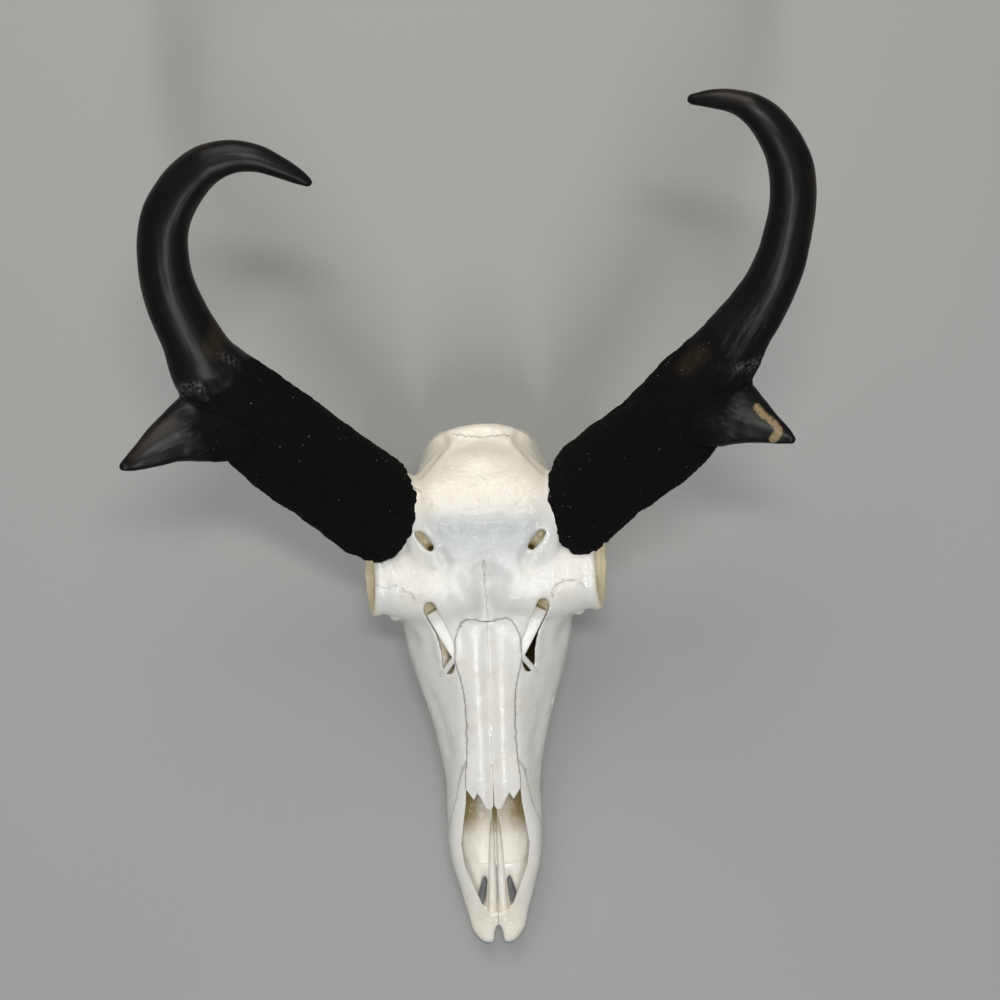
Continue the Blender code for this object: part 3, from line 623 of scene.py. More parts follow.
def sculpt_bone(bone):
    """The swellings and hollows of the outer surface: negative depths stand up."""
    soften(bone, [(30, -59, 84), (42, -60, 72), (50, -59, 60), (54, -57, 50), (52, -40, 44)], 15, 80)
    press(bone, [(-25, -20), (25, -20)], 1.3, 10, False)
    press(bone, [(-25, -6.5), (25, -6.5)], -0.9, 8, False)
    press(bone, [(0, -30), (0, -62)], 0.8, 8, False)
    press(bone, [(17, -38), (9, -61)], -0.8, 6.5)
    press(bone, [(27, -32), (25, -33)], -0.7, 6)
    press(bone, [(42, -34), (46, -34)], 0.9, 9)
    press(bone, [(20.5, 32), (27, 25), (34.5, 17)], 3.2, 6.5)
    press(bone, [(15.8, 31), (23, 23.5), (32.2, 14.6)], -1.0, 3)
    press(bone, [(-17, 36), (17, 36)], -0.7, 3, False)
    press(bone, [(-13, 29), (13, 29)], 0.7, 5, False)
    press(bone, [(33, -58), (27.5, -70), (26, -84)], -0.8, 4)
    press(bone, [(22.5, -27), (20, -33)], 0.8, 4)
    press(bone, [(0, -70), (0, -169)], 1.0, 4.5, False)
    press(bone, [(6.5, -76), (5.5, -166)], -0.7, 5)
    press(bone, [(13.6, -70), (13.4, -137)], 0.5, 3)
    press(bone, [(42, -72, 62), (44, -70, 60)], 2.0, 12)
    press(bone, [(50, -62, 48), (36, -100, 32)], -1.6, 7)
    press(bone, [(30, -95, 50), (22, -135, 48)], 0.9, 9)
    ripple(bone, 16, 0.5)
    ripple(bone, 5, 0.14, seed=9)


def suture_paths(tree):
    """Each suture as places on the surface, with its width."""
    paths = []
    for number, (path, wriggle, width) in enumerate(SUTURES):
        path = np.array(path, float)
        length = np.linalg.norm(np.diff(path, axis=0), axis=1).sum()
        rows = curve_through(path, max(6, int(length / 0.8)))
        ahead = np.gradient(rows, axis=0)
        ahead /= np.linalg.norm(ahead, axis=1)[:, None]
        run = np.linspace(0, length, len(rows))
        sway = np.array([noise.noise((t / 2.2, number * 7.3, 0)) + 0.5 * math.sin(t * 1.9) for t in run])
        rows = rows + ahead[:, ::-1] * (-1, 1) * (sway * wriggle)[:, None]
        paths.append((np.column_stack([rows, [roof(tree, x, y) for x, y in rows]]), width))
    return paths


def suture_cutter(paths):
    bm = bmesh.new()
    for rows, width in paths:
        limb(bm, np.column_stack([rows, np.full(len(rows), width)]), steps=len(rows), corners=8)
    slot = [(-0.5, -31, 0.8), (-0.6, -33.5, 1.9), (-0.4, -36, 1.5), (-0.4, -39.5, 0.7)]
    top = paths[0][0][0][2]
    limb(bm, [(x, y, top + (y + 38) * 0.4, width) for x, y, width in slot], ((0, 2), (1, 2)))
    return new_object("sutures", bm)


def inner_bones(tree):
    """The thin bones inside the gaps in front of the eye sockets and in the nose, one object for each."""
    # each as rows of x, y, depth under the skull's surface, and width
    plate = [
        (28.6, -58.5, 3.2, 6.8), (25.6, -63.5, 2.0, 8), (21.8, -71, 1.3, 7.8), (18, -79, 1.0, 6.8),
        (15.6, -85, 1.2, 5),
    ]
    bar = [
        (15.5, -81.5, 1.8, 3.2), (18, -84, 0.9, 3.2), (21.2, -88, 0.7, 3), (24, -91.8, 0.9, 3.2),
        (27, -95.5, 2.6, 3),
    ]
    inner_wall = [(35, -49, 7, 9), (31, -55, 6.5, 9), (28, -62, 6.5, 9), (25, -68, 7, 9)]
    left_wall = [(-27, -66, 6.5, 7), (-24.5, -76, 6.5, 7), (-22, -86, 6.5, 7), (-21, -96, 6.5, 7)]
    kinds = (plate, 0.2, True), (bar, 0.8, True), (inner_wall, 0.2, True), (left_wall, 0.25, False)
    shapes = []
    for path, thickness, paired in kinds:
        path = [(x, y, roof(tree, x, y) - below, width) for x, y, below, width in path]
        make = (both_sides, limb) if paired else (limb,)
        shapes.append(solid(*make, path, ((0, thickness), (1, thickness))))
    # the keel along the nose's middle and a thin scroll on each side of it, as rows of x, y, z and width
    keel = [
        (0, -120, 24, 2), (0, -150, 24.5, 2.2), (0, -172, 24, 2.6), (0, -182, 22.5, 2.4),
        (0, -187, 20.5, 1.4),
    ]
    scroll = [(13, -140, 40, 8), (11.5, -158, 38, 7), (10.5, -166, 36, 3)]
    bm = bmesh.new()
    limb(bm, keel, ((0, 4), (0.8, 3), (1, 2)), 60, 24)
    both_sides(bm, limb, scroll, ((0, 0.12), (1, 0.12)))
    shapes.append(new_object("inner bone", bm))
    return shapes


def nose_bar(side):
    """The bar that each premaxilla sends back along the middle of the nose's floor."""
    bar = [
        (1.2, -178, 20.6, 1.6), (1.8, -186, 21.6, 2.7), (2.2, -195, 21.6, 3.5), (2.4, -205, 20.6, 3.9),
        (2.65, -216, 19, 4.4), (2.95, -226, 17.6, 5), (3.3, -238, 15.5, 5.6),
    ]
    return solid(limb, [(side * x, y, z, width) for x, y, z, width in bar], ((0, 1.2), (1, 1.2)), 60, 20)


def build_bones():
    bone = bone_blank()
    sculpt_bone(bone)
    outside = tree_of(bone)
    cavities = fuse(new_object("cavities", hollows(outside)), BONE_VOXEL, 0)
    combine(bone, cavities, "DIFFERENCE")
    fuse(bone, BONE_VOXEL, 5)
    thin_out(bone, BONE_TRIANGLES)
    for shape in inner_bones(outside):
        combine(bone, shape, "UNION")
    combine(bone, nose_opening(), "DIFFERENCE")

    bones = {}
    for side, word in ((-1, "left"), (1, "right")):
        half = solid(prism, [(side * x, y) for x, y in nasal_half()], 34, 110)
        bones["nasal_" + word] = combine(copy_of(bone, "nasal"), half, "INTERSECT")
    half = nasal_half()[1:-4]
    whole = grown(half + [(-x, y) for x, y in half[::-1]], SUTURE_GAP)
    combine(bone, solid(prism, whole, 33.7, 111), "DIFFERENCE")
    for side, word in ((-1, "left"), (1, "right")):
        front = copy_of(bone, "premaxilla")
        combine(front, premaxilla_region(0, side), "INTERSECT")
        bones["premaxilla_" + word] = combine(front, nose_bar(side), "UNION")
    combine(bone, premaxilla_region(SUTURE_GAP), "DIFFERENCE")
    combine(bone, suture_cutter(suture_paths(outside)), "DIFFERENCE")
    for first in (0, 1):
        sockets = bmesh.new()
        for index in range(first, len(TOOTH_NAMES), 2):
            for side in (-1, 1):
                loft(sockets, tooth_rings(index, side, GAP, 32))
        combine(bone, new_object("sockets", sockets), "DIFFERENCE")
    for beam, seat in ((LEFT_BEAM, LEFT_SEAT), (RIGHT_BEAM, RIGHT_SEAT)):
        combine(bone, horn_envelope(beam, seat, GAP), "DIFFERENCE")
        keep_largest_body(bone)
        combine(bone, horn_core(beam, seat), "UNION")
    bones["cranium"] = bone
    return bones, outside


def mark_bone(obj, outside, sutures):
    """Stores where the bone is cream, in painted shade, yellow with fat under painted light, deep inside, or
    a crevice.
    """
    places = places_of(obj)
    depth = np.array([outside.find_nearest(p)[3] or 0 for p in places.tolist()])
    x, y, z = np.abs(places[:, 0]), places[:, 1], places[:, 2]
    from_above = np.column_stack([x, y])

    def ramp(value, start, length, top=1.0, base=0.0):
        """From the base at the start up to the top, once the value has gone this far past the start."""
        return np.clip((value - start) / length, base, top)

    in_orbit = ramp(x, 40, 8) * ramp(z, 34, 10)
    # olive-brown stain that grows with depth under the outer surface, partly painted shade in the deep
    # hollows
    stain_and_painted_shade = ramp(depth, 1, 5) * ramp(y, -190, 12) * (1 - 0.9 * in_orbit)
    # the eye sockets' outer rims: a yellow tint of fat, painted brighter as painted light where they lie in
    # shade
    fat_yellow_and_painted_light = ramp(x, 56.5, 4) * ramp(z, 36, 10)
    cream = np.maximum.reduce([
        0.75 * ramp(y, -10, 22),
        0.6 * ramp(-y, 205, 25),
        0.7 * ramp(-z, -40, 30) * (y > -205),
        fade(distance_to(from_above, [(20, 32), (34, 16.5)], 6), 6),
        ramp(depth, 1.6, 2, 0.8) * ramp(y, -178, 10, base=0.2),
    ])
    # painted shade with a painted cool reflection: the forehead under the crest is greyed where it slopes
    # away from the lights
    brow = fade(distance_to(places[:, :2], [(-17, -18), (17, -18)], 26), 26)
    forehead = fade(distance_to(places[:, :2], [(0, -36), (0, -54)], 26), 26)
    forehead_painted_shade = np.maximum(brow, 0.5 * forehead) * (1 - cream)
    crevice = np.zeros(len(places))
    for rows, width in sutures:
        lines = np.clip(1.6 - distance_to(places, rows, 2) / (width * 0.7), 0, 1)
        crevice = np.maximum(crevice, 0.45 * lines)
    edge = distance_to(np.column_stack([x, -np.abs(y)]), nasal_half()[1:-4], 2)
    crevice = np.maximum(crevice, 0.5 * np.clip(1.5 - edge / 0.35, 0, 1) * (y < -62) * (y > -157))
    front = distance_to(places[:, 1:], PREMAXILLA_SEAM[:6], 2)
    crevice = np.maximum(crevice, 0.5 * np.clip(1.5 - front / 0.35, 0, 1) * (z > 26) * (x > 13.5))
    marks = {"cream": cream, "forehead_painted_shade": forehead_painted_shade, "fat_yellow_and_painted_light": fat_yellow_and_painted_light, "stain_and_painted_shade": stain_and_painted_shade, "crevice": crevice}
    for name, values in marks.items():
        store(obj, name, values)


# ---------------- the teeth
def tooth_rings(index, side, gap=0.0, corners=12):
    """Level cross-sections of one cheek tooth, from its chewing face up to the end of its root."""
    front, back = Vector(TOOTH_ROW_FRONT), Vector(TOOTH_ROW_BACK)
    before = sum(TOOTH_LENGTHS[:index]) + GAP * index
    length, width = TOOTH_LENGTHS[index], TOOTH_WIDTHS[index]
    row = (back - front).normalized()
    centre = front + row * (before + length / 2)
    outward = Vector((row.y, -row.x))
    lobes = 2 if index > 2 else 1
    turn = np.linspace(0, 2 * math.pi, corners, endpoint=False)
    levels = [(0, 0.97), (5, 1.0), (12, 0.96), (TOOTH_TOP, 0.7)]
    if gap:
        levels[0] = (-2, 0.97)
        levels[-1] = (TOOTH_TOP + gap, 0.7)
    rings = []
    for z, share in levels:
        ring = []
        for a in turn:
            u = math.copysign(abs(math.cos(a)) ** 0.6, math.cos(a))
            v = math.copysign(abs(math.sin(a)) ** 0.7, math.sin(a))
            waist = 1 - 0.12 * (lobes - 1) * (1 - abs(u)) ** 2
            along = u * (length / 2 * share + gap)
            across = v * (width / 2 * share * waist + gap)
            place = centre + row * along + outward * across
            ring.append((side * place.x, place.y, z))
        rings.append(ring)
    return rings


def build_tooth(index, side):
    """A cheek tooth with its roots' outline, two folds of enamel on each lobe and a ribbed outer wall."""
    corners = 72
    rings = [np.array(ring) for ring in tooth_rings(index, side, 0, corners)]
    heights = [ring[0][2] for ring in rings]
    shaped = []
    levels = (0.0, 0.5, 1.5, 3, 5, 8, 11, 14, 17, TOOTH_TOP)
    for z in levels:
        ring = np.column_stack([
            [np.interp(z, heights, [r[i][k] for r in rings]) for i in range(corners)] for k in range(3)
        ])
        shaped.append(ring)
    middle = shaped[0].mean(axis=0)
    lobes = 2 if index > 2 else 1
    front, back = Vector(TOOTH_ROW_FRONT), Vector(TOOTH_ROW_BACK)
    row = np.array((*(back - front).normalized(), 0)) * (side, 1, 1)
    outward = np.array((row[1], -row[0], 0))
    half_length, half_width = TOOTH_LENGTHS[index] / 2, TOOTH_WIDTHS[index] / 2

    def relief(place):
        """How deep the chewing face lies at a place: two crescents and the edges around them stand up."""
        u, v = (place - middle) @ row / half_length, (place - middle) @ outward / half_width
        u = (u * lobes + (lobes - 1)) % 2 - 1 if lobes > 1 else u
        crescent = abs(v - 0.45 * (1 - u * u) + 0.2) if v > 0 else abs(v + 0.45 * (1 - u * u) - 0.1)
        fold = max(0.0, 1 - ((crescent - 0.12) / 0.14) ** 2) * (1 - abs(u) ** 4)
        return 1.1 * fold + 0.5 * (abs(u) > 0.9)

    face = []
    for share in (0.06, 0.16, 0.26, 0.36, 0.46, 0.56, 0.66, 0.76, 0.84, 0.9, 0.95):
        ring = middle + (shaped[0] - middle) * share
        ring[:, 2] = [0.05 + relief(p) * min(1, (1 - share) * 8) for p in ring]
        face.append(ring)
    for ring, z in zip(shaped, levels):
        if z > 0:
            from_middle = ring - ring.mean(axis=0)
            phase = from_middle @ row / half_length * lobes * math.pi
            ring -= from_middle * (0.018 * (1 - np.cos(phase * 2)) * min(1, z / 3))[:, None]
    bm = bmesh.new()
    loft(bm, [[Vector(p) for p in ring] for ring in face + shaped])
    tooth = new_object("tooth", bm)
    places = places_of(tooth)
    stain = 0.9 * np.clip(places[:, 2], 0, 1) * (places[:, 2] < 1.3) * (normals_of(tooth)[:, 2] < -0.2)
    stain = np.maximum(stain, 0.35 * np.clip((places[:, 2] - 7) / 5, 0, 1))
    store(tooth, "stain", stain)
    return tooth


# ---------------- the horns
def horn_envelope(beam, seat, gap=0.0):
    """The shaft and upper tine of a horn as a solid. A grown one also reaches past the open end."""
    first, second = Vector(beam[0][:3]), Vector(beam[1][:3])
    start = first - (second - first).normalized() * gap
    return solid(limb, [(*start, beam[0][3]), *beam[1:]], BEAM_THICKNESS, *BEAM_GRID, gap, seat)


def horn_core(beam, seat, gap=0.0):
    """The bony core inside a horn, which starts inside the skull."""
    rows = curve_through(beam, 60)
    lengths = np.concatenate([[0], np.cumsum(np.linalg.norm(np.diff(rows[:, :3], axis=0), axis=1))])
    path = []
    for share in (0, 0.2, 0.4, 0.6, 0.8, 0.93, 1):
        at = [np.interp(share * CORE_LENGTH, lengths, rows[:, k]) for k in range(4)]
        path.append([*at[:3], at[3] * CORE_SHARE * (1 - 0.35 * share - 0.35 * share**8)])
    first, second = Vector(path[0][:3]), Vector(path[1][:3])
    inside = first - (second - first).normalized() * CORE_ROOT
    path.insert(0, [*inside, path[0][3]])
    if gap:
        end, last = Vector(path[-1][:3]), Vector(path[-2][:3])
        path[-1][:3] = end + (end - last).normalized() * gap
    return solid(limb, path, ((0, 0.62), (1, 0.5)), 36, 40, gap, [share * 0.8 for share in seat])


# ---------------- putting up
def copy_of(obj, name):
    twin = bpy.data.objects.new(name, obj.data.copy())
    bpy.context.scene.collection.objects.link(twin)
    return twin


def keep_largest_body(obj):
    """Leaves out the crumbs that a cut made."""
    bm = bmesh.new()
    bm.from_mesh(obj.data)
    left = set(bm.verts)
    bodies = []
    while left:
        body, edge = set(), [left.pop()]
        while edge:
            vert = edge.pop()
            body.add(vert)
            near = [e.other_vert(vert) for e in vert.link_edges]
            edge.extend(v for v in near if v in left)
            left.difference_update(near)
        bodies.append(body)
    largest = max(bodies, key=len)
    bmesh.ops.delete(bm, geom=[v for v in bm.verts if v not in largest], context="VERTS")
    bm.to_mesh(obj.data)
    bm.free()


def build_horn(beam, prong, seat, side):
    """One black sheath, with the places that its finish depends on stored on it."""
    bm = bmesh.new()
    limb(bm, beam, BEAM_THICKNESS, *BEAM_GRID, 0, seat)
    limb(bm, prong, PRONG_THICKNESS, 60, 48)
    for path in (beam, prong):
        ahead = (Vector(path[-1][:3]) - Vector(path[-2][:3])).normalized()
        tip = Vector(path[-1][:3]) - ahead * 0.3
        ball(bm, tip, [path[-1][3] * 0.46] * 3)
    horn = fuse(new_object("horn", bm), HORN_VOXEL, 4)
    soften(horn, [row[:3] for row in prong[:3]], 24, 60, mirrored=False)
    places = places_of(horn)

    def along(path, thickness, seat):
        """Where each place lies beside a path: across, up and ahead in millimetres, and how far out."""
        frames = limb_frames(path, thickness, 160, seat)
        middles = np.array([f[0] for f in frames])
        lengths = np.concatenate([[0], np.cumsum(np.linalg.norm(np.diff(middles, axis=0), axis=1))])
        tree = KDTree(len(frames))
        for i, middle in enumerate(middles):
            tree.insert(middle, i)
        tree.balance()
        nearest = np.array([tree.find(p)[1] for p in places.tolist()])
        axes = [np.array([f[k] for f in frames])[nearest] for k in (1, 2, 3)]
        offset = places - middles[nearest]
        ahead, across, up = ((offset * axis).sum(axis=1) for axis in axes)
        broad, thin = (np.array([f[k] for f in frames])[nearest] for k in (4, 5))
        out = np.sqrt((across / broad) ** 2 + (up / thin) ** 2)
        return across, up, lengths[nearest] + ahead, out, lengths[-1]

    across, up, run, out, _ = along(beam, BEAM_THICKNESS, seat)
    p_across, p_up, p_run, p_out, p_length = along(prong, PRONG_THICKNESS, (0, 0))
    on_prong = np.clip((out - p_out) * 6 + 0.3, 0, 1) * (p_run > 6)
    uneven = np.array([noise.noise(p) for p in (places / 7 + side).tolist()]) * 7
    rough = 1 - np.clip((run + uneven - FORK[side]) / (5 if side < 0 else 50), 0, 1)
    rough = rough * (1 - on_prong * np.clip((p_run + uneven - p_length * 0.4) / 14, 0, 1))
    grain = np.column_stack([across, up, run])
    grain[on_prong > 0.5] = np.column_stack([p_across, p_up, p_run])[on_prong > 0.5]
    rim = np.clip(1 - run / 8, 0, 1)

    put_places(horn, places + normals_of(horn) * (rough * 0.45)[:, None])
    ripple(horn, 9, 0.7, 0.25 + 0.75 * rough, seed=3 * side)
    ripple(horn, 1, 0.6, rough, (0.45, 0.45, 0.06), 5 * side, grain)
    ripple(horn, 1, 0.3, rough, (0.9, 0.9, 0.3), 11 * side, grain)
    ripple(horn, 1, 1.5, rim**0.5, (0.22, 0.22, 0.16), 17 * side, grain)
    ripple(horn, 1, 0.1, 1 - rough, (0.5, 0.5, 0.02), 23 * side, grain)

    faces_up = normals_of(horn)[:, 2] > -0.3

    def spots(marks, crumble):
        """Soft marks along paths, with broken edges."""
        result = np.zeros(len(places))
        for path, reach in marks:
            mark = fade(distance_to(places, path, reach), reach)
            result = np.maximum(result, np.clip(mark * (1 + crumble * uneven / 4), 0, 1) * faces_up)
        return result

    # the streak marks include a painted sheen along the left prong
    crust, worn, streak_and_sheen = spots(CRUST[side], 0.8), spots(WORN[side], 0.5), spots(STREAKS_AND_SHEEN[side], 0)
    ripple(horn, 1.6, 0.7, crust, seed=31)
    marks = {"grain": grain, "rough": rough, "crust": crust, "worn": worn, "streak_and_sheen": streak_and_sheen}
    for name, values in marks.items():
        store(horn, name, values)
    combine(horn, horn_core(beam, seat, GAP), "DIFFERENCE")
    return horn


# the skull's own frame stands here in the model's
RIGHT_FRONT_TOOTH = np.array([p for ring in tooth_rings(0, 1) for p in ring])
ORIGIN = Vector(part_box("premolar_2_right")[0]) - Vector(RIGHT_FRONT_TOOTH.min(axis=0)) * MM


def hand_over(obj, node):
    """Puts a finished piece into the model's frame, in the place of its plain solid."""
    obj.data.transform(Matrix.Translation(ORIGIN) @ Matrix.Scale(MM, 4))
    obj.name = node + "_detail"
    obj.data.name = obj.name
    for face in obj.data.polygons:
        face.use_smooth = True
    obj.data.set_sharp_from_angle(angle=math.radians(SHARP_EDGE))
    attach(obj, "root")
    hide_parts(node)


# ---------------- materials
def tone(hex_code):
    """An sRGB colour as linear light."""
    parts = [int(hex_code[i : i + 2], 16) / 255 for i in (1, 3, 5)]
    return (*(p / 12.92 if p <= 0.04045 else ((p + 0.055) / 1.055) ** 2.4 for p in parts), 1)


def add(tree, kind, inputs=None, **settings):
    """A node with its settings, and its inputs given as values or as the sockets to link them to."""
    node = tree.nodes.new(kind)
    for name, value in settings.items():
        setattr(node, name, value)
    for name, value in (inputs or {}).items():
        if isinstance(value, bpy.types.NodeSocket):
            tree.links.new(value, node.inputs[name])
        else:
            node.inputs[name].default_value = value
    return node


def new_material(name):
    material = bpy.data.materials.new(name)
    material.use_nodes = True
    return material, material.node_tree, material.node_tree.nodes["Principled BSDF"]


FACTOR, FIRST, SECOND, MIXED = 0, 6, 7, 2  # sockets of a colour Mix node


def lacquered_bone():
    """Boiled and peroxide-bleached bone under brushed clear lacquer: chalk white, greyed on the forehead by
    painted shade with a painted cool reflection, cream where fat stayed in it, its eye sockets' rims yellow
    with fat and brightened by painted light, olive brown in its depths as a stain deepened by painted shade,
    and glints broken up by the brush marks."""
    material, tree, shader = new_material("lacquered bleached bone")
    at = add(tree, "ShaderNodeTexCoord").outputs["Object"]
    cream, forehead_painted_shade, fat_yellow_and_painted_light, stain_and_painted_shade, crevice = (
        add(tree, "ShaderNodeAttribute", attribute_name=name).outputs["Fac"]
        for name in ("cream", "forehead_painted_shade", "fat_yellow_and_painted_light", "stain_and_painted_shade", "crevice")
    )
    clouds, stain, pores, brush, sag = (
        add(tree, "ShaderNodeTexNoise", {"Vector": at, "Scale": scale, "Detail": detail}).outputs["Fac"]
        for scale, detail in ((45, 4), (160, 5), (900, 2), (520, 3), (130, 2))  # 22, 6, 1.1, 2 and 8 mm
    )
    patch, spots, grit = (
        add(tree, "ShaderNodeMapRange", {"Value": value, "From Min": low, "From Max": high, "To Max": most})
        for value, low, high, most in (
            (clouds, 0.35, 0.7, 0.45),
            (stain, 0.52, 0.8, 0.3),
            (pores, 0.6, 0.8, 0.22),
        )
    )
    warmth = add(tree, "ShaderNodeMath", {0: cream, 1: patch.outputs[0]}, use_clamp=True).outputs[0]
    colour = tone("#EEEDE8")
    for share, code in (
        (warmth, "#ECE6D6"),
        # painted shade with a painted cool reflection on the forehead
        (forehead_painted_shade, "#BEC2C2"),
        (spots.outputs[0], "#C6BEA8"),
        (grit.outputs[0], "#A79F8C"),
        # yellow of fat on the eye sockets' rims, painted bright as painted light against their shade
        (fat_yellow_and_painted_light, "#FCEBC0"),
        # olive-brown stain in the depths, darker as painted shade
        (stain_and_painted_shade, "#94824F"),
        (crevice, "#5E564A"),
    ):
        mix = {FACTOR: share, FIRST: colour, SECOND: tone(code)}
        colour = add(tree, "ShaderNodeMix", mix, data_type="RGBA").outputs[MIXED]
    tree.links.new(colour, shader.inputs["Base Color"])
    sags = {"Height": sag, "Distance": 0.0004, "Strength": 0.5}
    relief = add(tree, "ShaderNodeBump", sags).outputs[0]
    tree.links.new(relief, shader.inputs["Normal"])
    strokes = {"Height": brush, "Distance": 0.0006, "Strength": 1.0, "Normal": relief}
    tree.links.new(add(tree, "ShaderNodeBump", strokes).outputs[0], shader.inputs["Coat Normal"])
    shader.inputs["Roughness"].default_value = 0.42
    shader.inputs["IOR"].default_value = 1.5
    shader.inputs["Specular IOR Level"].default_value = 0.3
    shader.inputs["Coat Weight"].default_value = 0.6
    shader.inputs["Coat Roughness"].default_value = 0.05
    shader.inputs["Coat IOR"].default_value = 1.8
    return material


def horn_keratin():
    """Black horn sheath: matted hair fibres along the shaft, which soak up the light, and a tine rubbed
    smooth, with a satin shine, brown streaks, a painted sheen on the left prong and pale worn spots."""
    material, tree, shader = new_material("black keratin horn sheath")
    # in millimetres: across, up and along the horn
    at = add(tree, "ShaderNodeAttribute", attribute_name="grain").outputs["Vector"]
    rough, crust, worn, streak_and_sheen = (
        add(tree, "ShaderNodeAttribute", attribute_name=name).outputs["Fac"]
        for name in ("rough", "crust", "worn", "streak_and_sheen")
    )
    drawn = add(tree, "ShaderNodeMapping", {"Vector": at, "Scale": (0.9, 0.9, 0.07)}).outputs[0]
    fibres = add(tree, "ShaderNodeTexNoise", {"Vector": drawn, "Scale": 1.0, "Detail": 5}).outputs["Fac"]
    knots = add(tree, "ShaderNodeTexNoise", {"Vector": at, "Scale": 0.7, "Detail": 4}).outputs["Fac"]
    brown = add(tree, "ShaderNodeMath", {0: streak_and_sheen, 1: fibres}, operation="MULTIPLY").outputs[0]
    broken = add(tree, "ShaderNodeMapRange", {"Value": knots, "From Min": 0.42, "From Max": 0.6}).outputs[0]
    crusted = add(tree, "ShaderNodeMath", {0: crust, 1: broken}, operation="MULTIPLY").outputs[0]
    uneven = add(tree, "ShaderNodeMath", {0: worn, 1: knots}, operation="MULTIPLY").outputs[0]
    bare = {"Value": uneven, "From Min": 0.15, "From Max": 0.4, "To Max": 0.75}
    bare = add(tree, "ShaderNodeMapRange", bare).outputs[0]
    # dust: a pale fleck of about half a millimetre in one out of fourteen cells 2.5 mm wide
    cells = add(tree, "ShaderNodeTexVoronoi", {"Vector": at, "Scale": 0.4})
    small = {0: cells.outputs["Distance"], 1: 0.13}
    small = add(tree, "ShaderNodeMath", small, operation="LESS_THAN").outputs[0]
    chance = add(tree, "ShaderNodeSeparateColor", {0: cells.outputs["Color"]}).outputs[0]
    fleck = add(tree, "ShaderNodeMath", {0: chance, 1: 0.93}, operation="GREATER_THAN").outputs[0]
    for share in (small, rough, 0.55):
        fleck = add(tree, "ShaderNodeMath", {0: fleck, 1: share}, operation="MULTIPLY").outputs[0]
    colour = tone("#060606")
    for share, code in (
        (fibres, "#111211"),
        # brown streaks, and the painted sheen along the left prong
        (brown, "#33291E"),
        (crusted, "#454140"),
        (bare, "#9A8462"),
        (fleck, "#9C9C9A"),
    ):
        mix = {FACTOR: share, FIRST: colour, SECOND: tone(code)}
        colour = add(tree, "ShaderNodeMix", mix, data_type="RGBA").outputs[MIXED]
    tree.links.new(colour, shader.inputs["Base Color"])
    dull = add(tree, "ShaderNodeMapRange", {"Value": rough, "To Min": 0.4, "To Max": 0.85}).outputs[0]
    tree.links.new(dull, shader.inputs["Roughness"])
    polish = add(tree, "ShaderNodeMapRange", {"Value": rough, "To Min": 0.24, "To Max": 0.0}).outputs[0]
    tree.links.new(polish, shader.inputs["Coat Weight"])
    height = add(tree, "ShaderNodeMath", {0: fibres, 1: knots}).outputs[0]
    depth = add(tree, "ShaderNodeMapRange", {"Value": rough, "To Min": 0.00008, "To Max": 0.0009}).outputs[0]
    relief = add(tree, "ShaderNodeBump", {"Height": height, "Distance": depth, "Strength": 0.8}).outputs[0]
    tree.links.new(relief, shader.inputs["Normal"])
    shader.inputs["Specular IOR Level"].default_value = 0.09
    shader.inputs["Coat Roughness"].default_value = 0.34
    return material


def tooth_enamel():
    """Grazer's cheek tooth: ivory enamel, browner in the folds of the chewing face and at the gum."""
    material, tree, shader = new_material("ivory tooth enamel")
    at = add(tree, "ShaderNodeTexCoord").outputs["Object"]
    stain = add(tree, "ShaderNodeAttribute", attribute_name="stain").outputs["Fac"]
    clouds = add(tree, "ShaderNodeTexNoise", {"Vector": at, "Scale": 300, "Detail": 4}).outputs["Fac"]  # 3 mm
    share = {0: stain, 1: clouds, 2: stain}
    share = add(tree, "ShaderNodeMath", share, operation="MULTIPLY_ADD", use_clamp=True).outputs[0]
    mix = {FACTOR: share, FIRST: tone("#E6DDC4"), SECOND: tone("#6E5236")}
    colour = add(tree, "ShaderNodeMix", mix, data_type="RGBA").outputs[MIXED]
    tree.links.new(colour, shader.inputs["Base Color"])
    ridges = add(tree, "ShaderNodeMapping", {"Vector": at, "Scale": (900, 900, 90)}).outputs[0]
    lines = add(tree, "ShaderNodeTexNoise", {"Vector": ridges, "Scale": 1.0, "Detail": 3}).outputs["Fac"]
    relief = add(tree, "ShaderNodeBump", {"Height": lines, "Distance": 0.0003, "Strength": 0.6}).outputs[0]
    tree.links.new(relief, shader.inputs["Normal"])
    shader.inputs["Roughness"].default_value = 0.28
    shader.inputs["IOR"].default_value = 1.62
    return material


def smooth_plaster():
    """The plain pale floor."""
    material, _, shader = new_material("pale floor")
    shader.inputs["Base Color"].default_value = tone("#A6A7A5")
    shader.inputs["Roughness"].default_value = 0.9
    return material


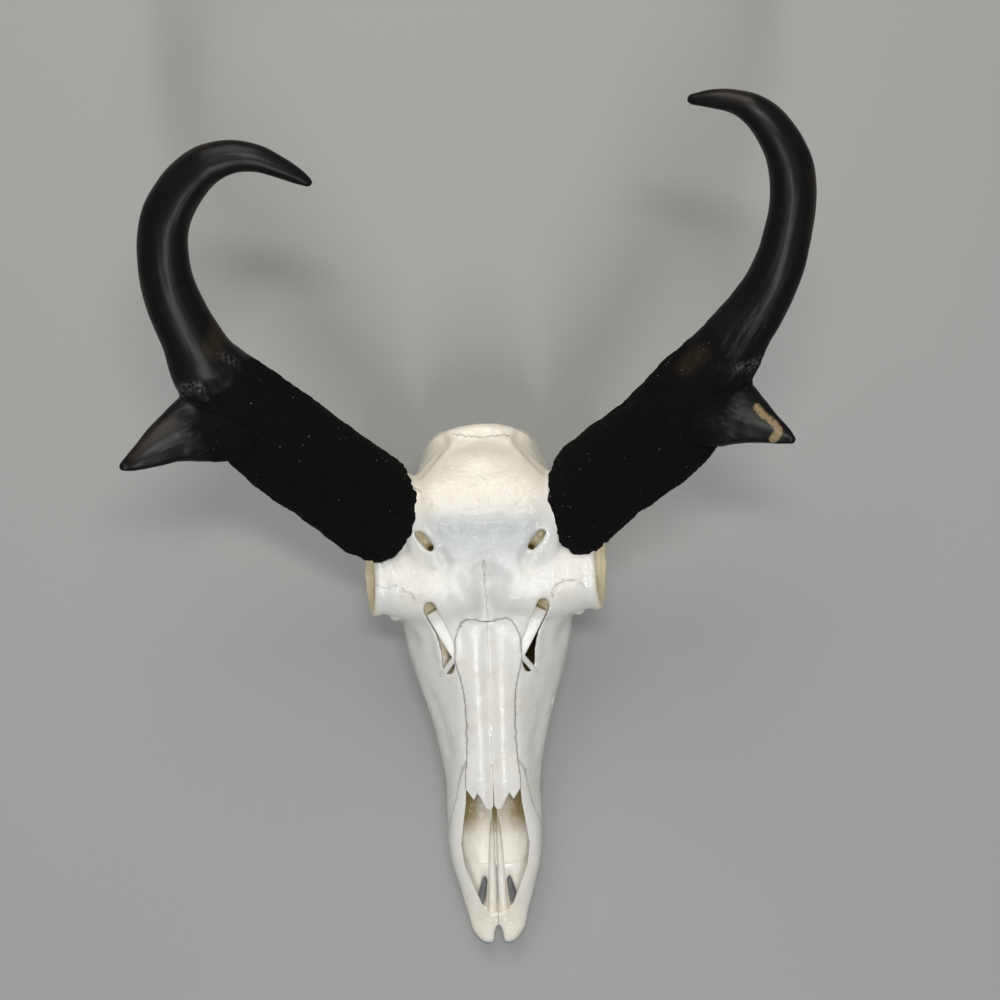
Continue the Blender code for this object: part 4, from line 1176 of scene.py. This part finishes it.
# ---------------- the made pieces
bones, outside = build_bones()
bone_finish = lacquered_bone()
for node, obj in bones.items():
    mark_bone(obj, outside, suture_paths(outside))
    obj.data.materials.clear()
    obj.data.materials.append(bone_finish)
    hand_over(obj, node)
horn_finish = horn_keratin()
for side, word, beam, prong, seat in (
    (-1, "left", LEFT_BEAM, LEFT_PRONG, LEFT_SEAT),
    (1, "right", RIGHT_BEAM, RIGHT_PRONG, RIGHT_SEAT),
):
    horn = build_horn(beam, prong, seat, side)
    horn.data.materials.clear()
    horn.data.materials.append(horn_finish)
    hand_over(horn, "horn_" + word)
enamel = tooth_enamel()
for index, name in enumerate(TOOTH_NAMES):
    for side, word in ((-1, "left"), (1, "right")):
        tooth = build_tooth(index, side)
        tooth.data.materials.append(enamel)
        hand_over(tooth, name + "_" + word)

# ---------------- floor, light, view
bm = bmesh.new()
bmesh.ops.create_grid(bm, x_segments=1, y_segments=1, size=3)
floor = new_object("floor", bm)
floor.data.materials.append(smooth_plaster())


def soft_light(name, place, aim, size, power, colour):
    """A soft box of this width and height, placed and aimed in millimetres in the skull's frame."""
    light = bpy.data.lights.new(name, "AREA")
    light.shape = "RECTANGLE"
    light.size = size[0] * MM
    light.size_y = size[1] * MM
    light.energy = power
    light.color = tone(colour)[:3]
    lamp = bpy.data.objects.new(name, light)
    lamp.location = ORIGIN + Vector(place) * MM
    lamp.rotation_euler = (Vector(aim) - Vector(place)).to_track_quat("-Z", "Y").to_euler()
    bpy.context.scene.collection.objects.link(lamp)


soft_light("ceiling light", (-150, 1000, 1100), (0, 0, 60), (850, 850), 9, "#FFFAF2")
soft_light("window", (20, -850, 1330), (0, -60, 70), (100, 800), 8, "#FBFCFF")
soft_light("lamp overhead", (60, 250, 1500), (0, 0, 100), (400, 110), 6, "#FFFEFA")
world = bpy.data.worlds.new("room")
world.use_nodes = True
world.node_tree.nodes["Background"].inputs["Color"].default_value = tone("#D2D6DC")
world.node_tree.nodes["Background"].inputs["Strength"].default_value = 0.27
bpy.context.scene.world = world

bpy.context.scene.view_settings.view_transform = "Standard"
camera = bpy.data.cameras.new("camera")
camera.lens = 66.67
camera.sensor_width = 36
eye = bpy.data.objects.new("camera", camera)
eye.location = ORIGIN + Vector((9.1, -0.3, 1065.6)) * MM
eye.rotation_euler = (0, 0, math.radians(-1.98))
bpy.context.scene.collection.objects.link(eye)
bpy.context.scene.camera = eye
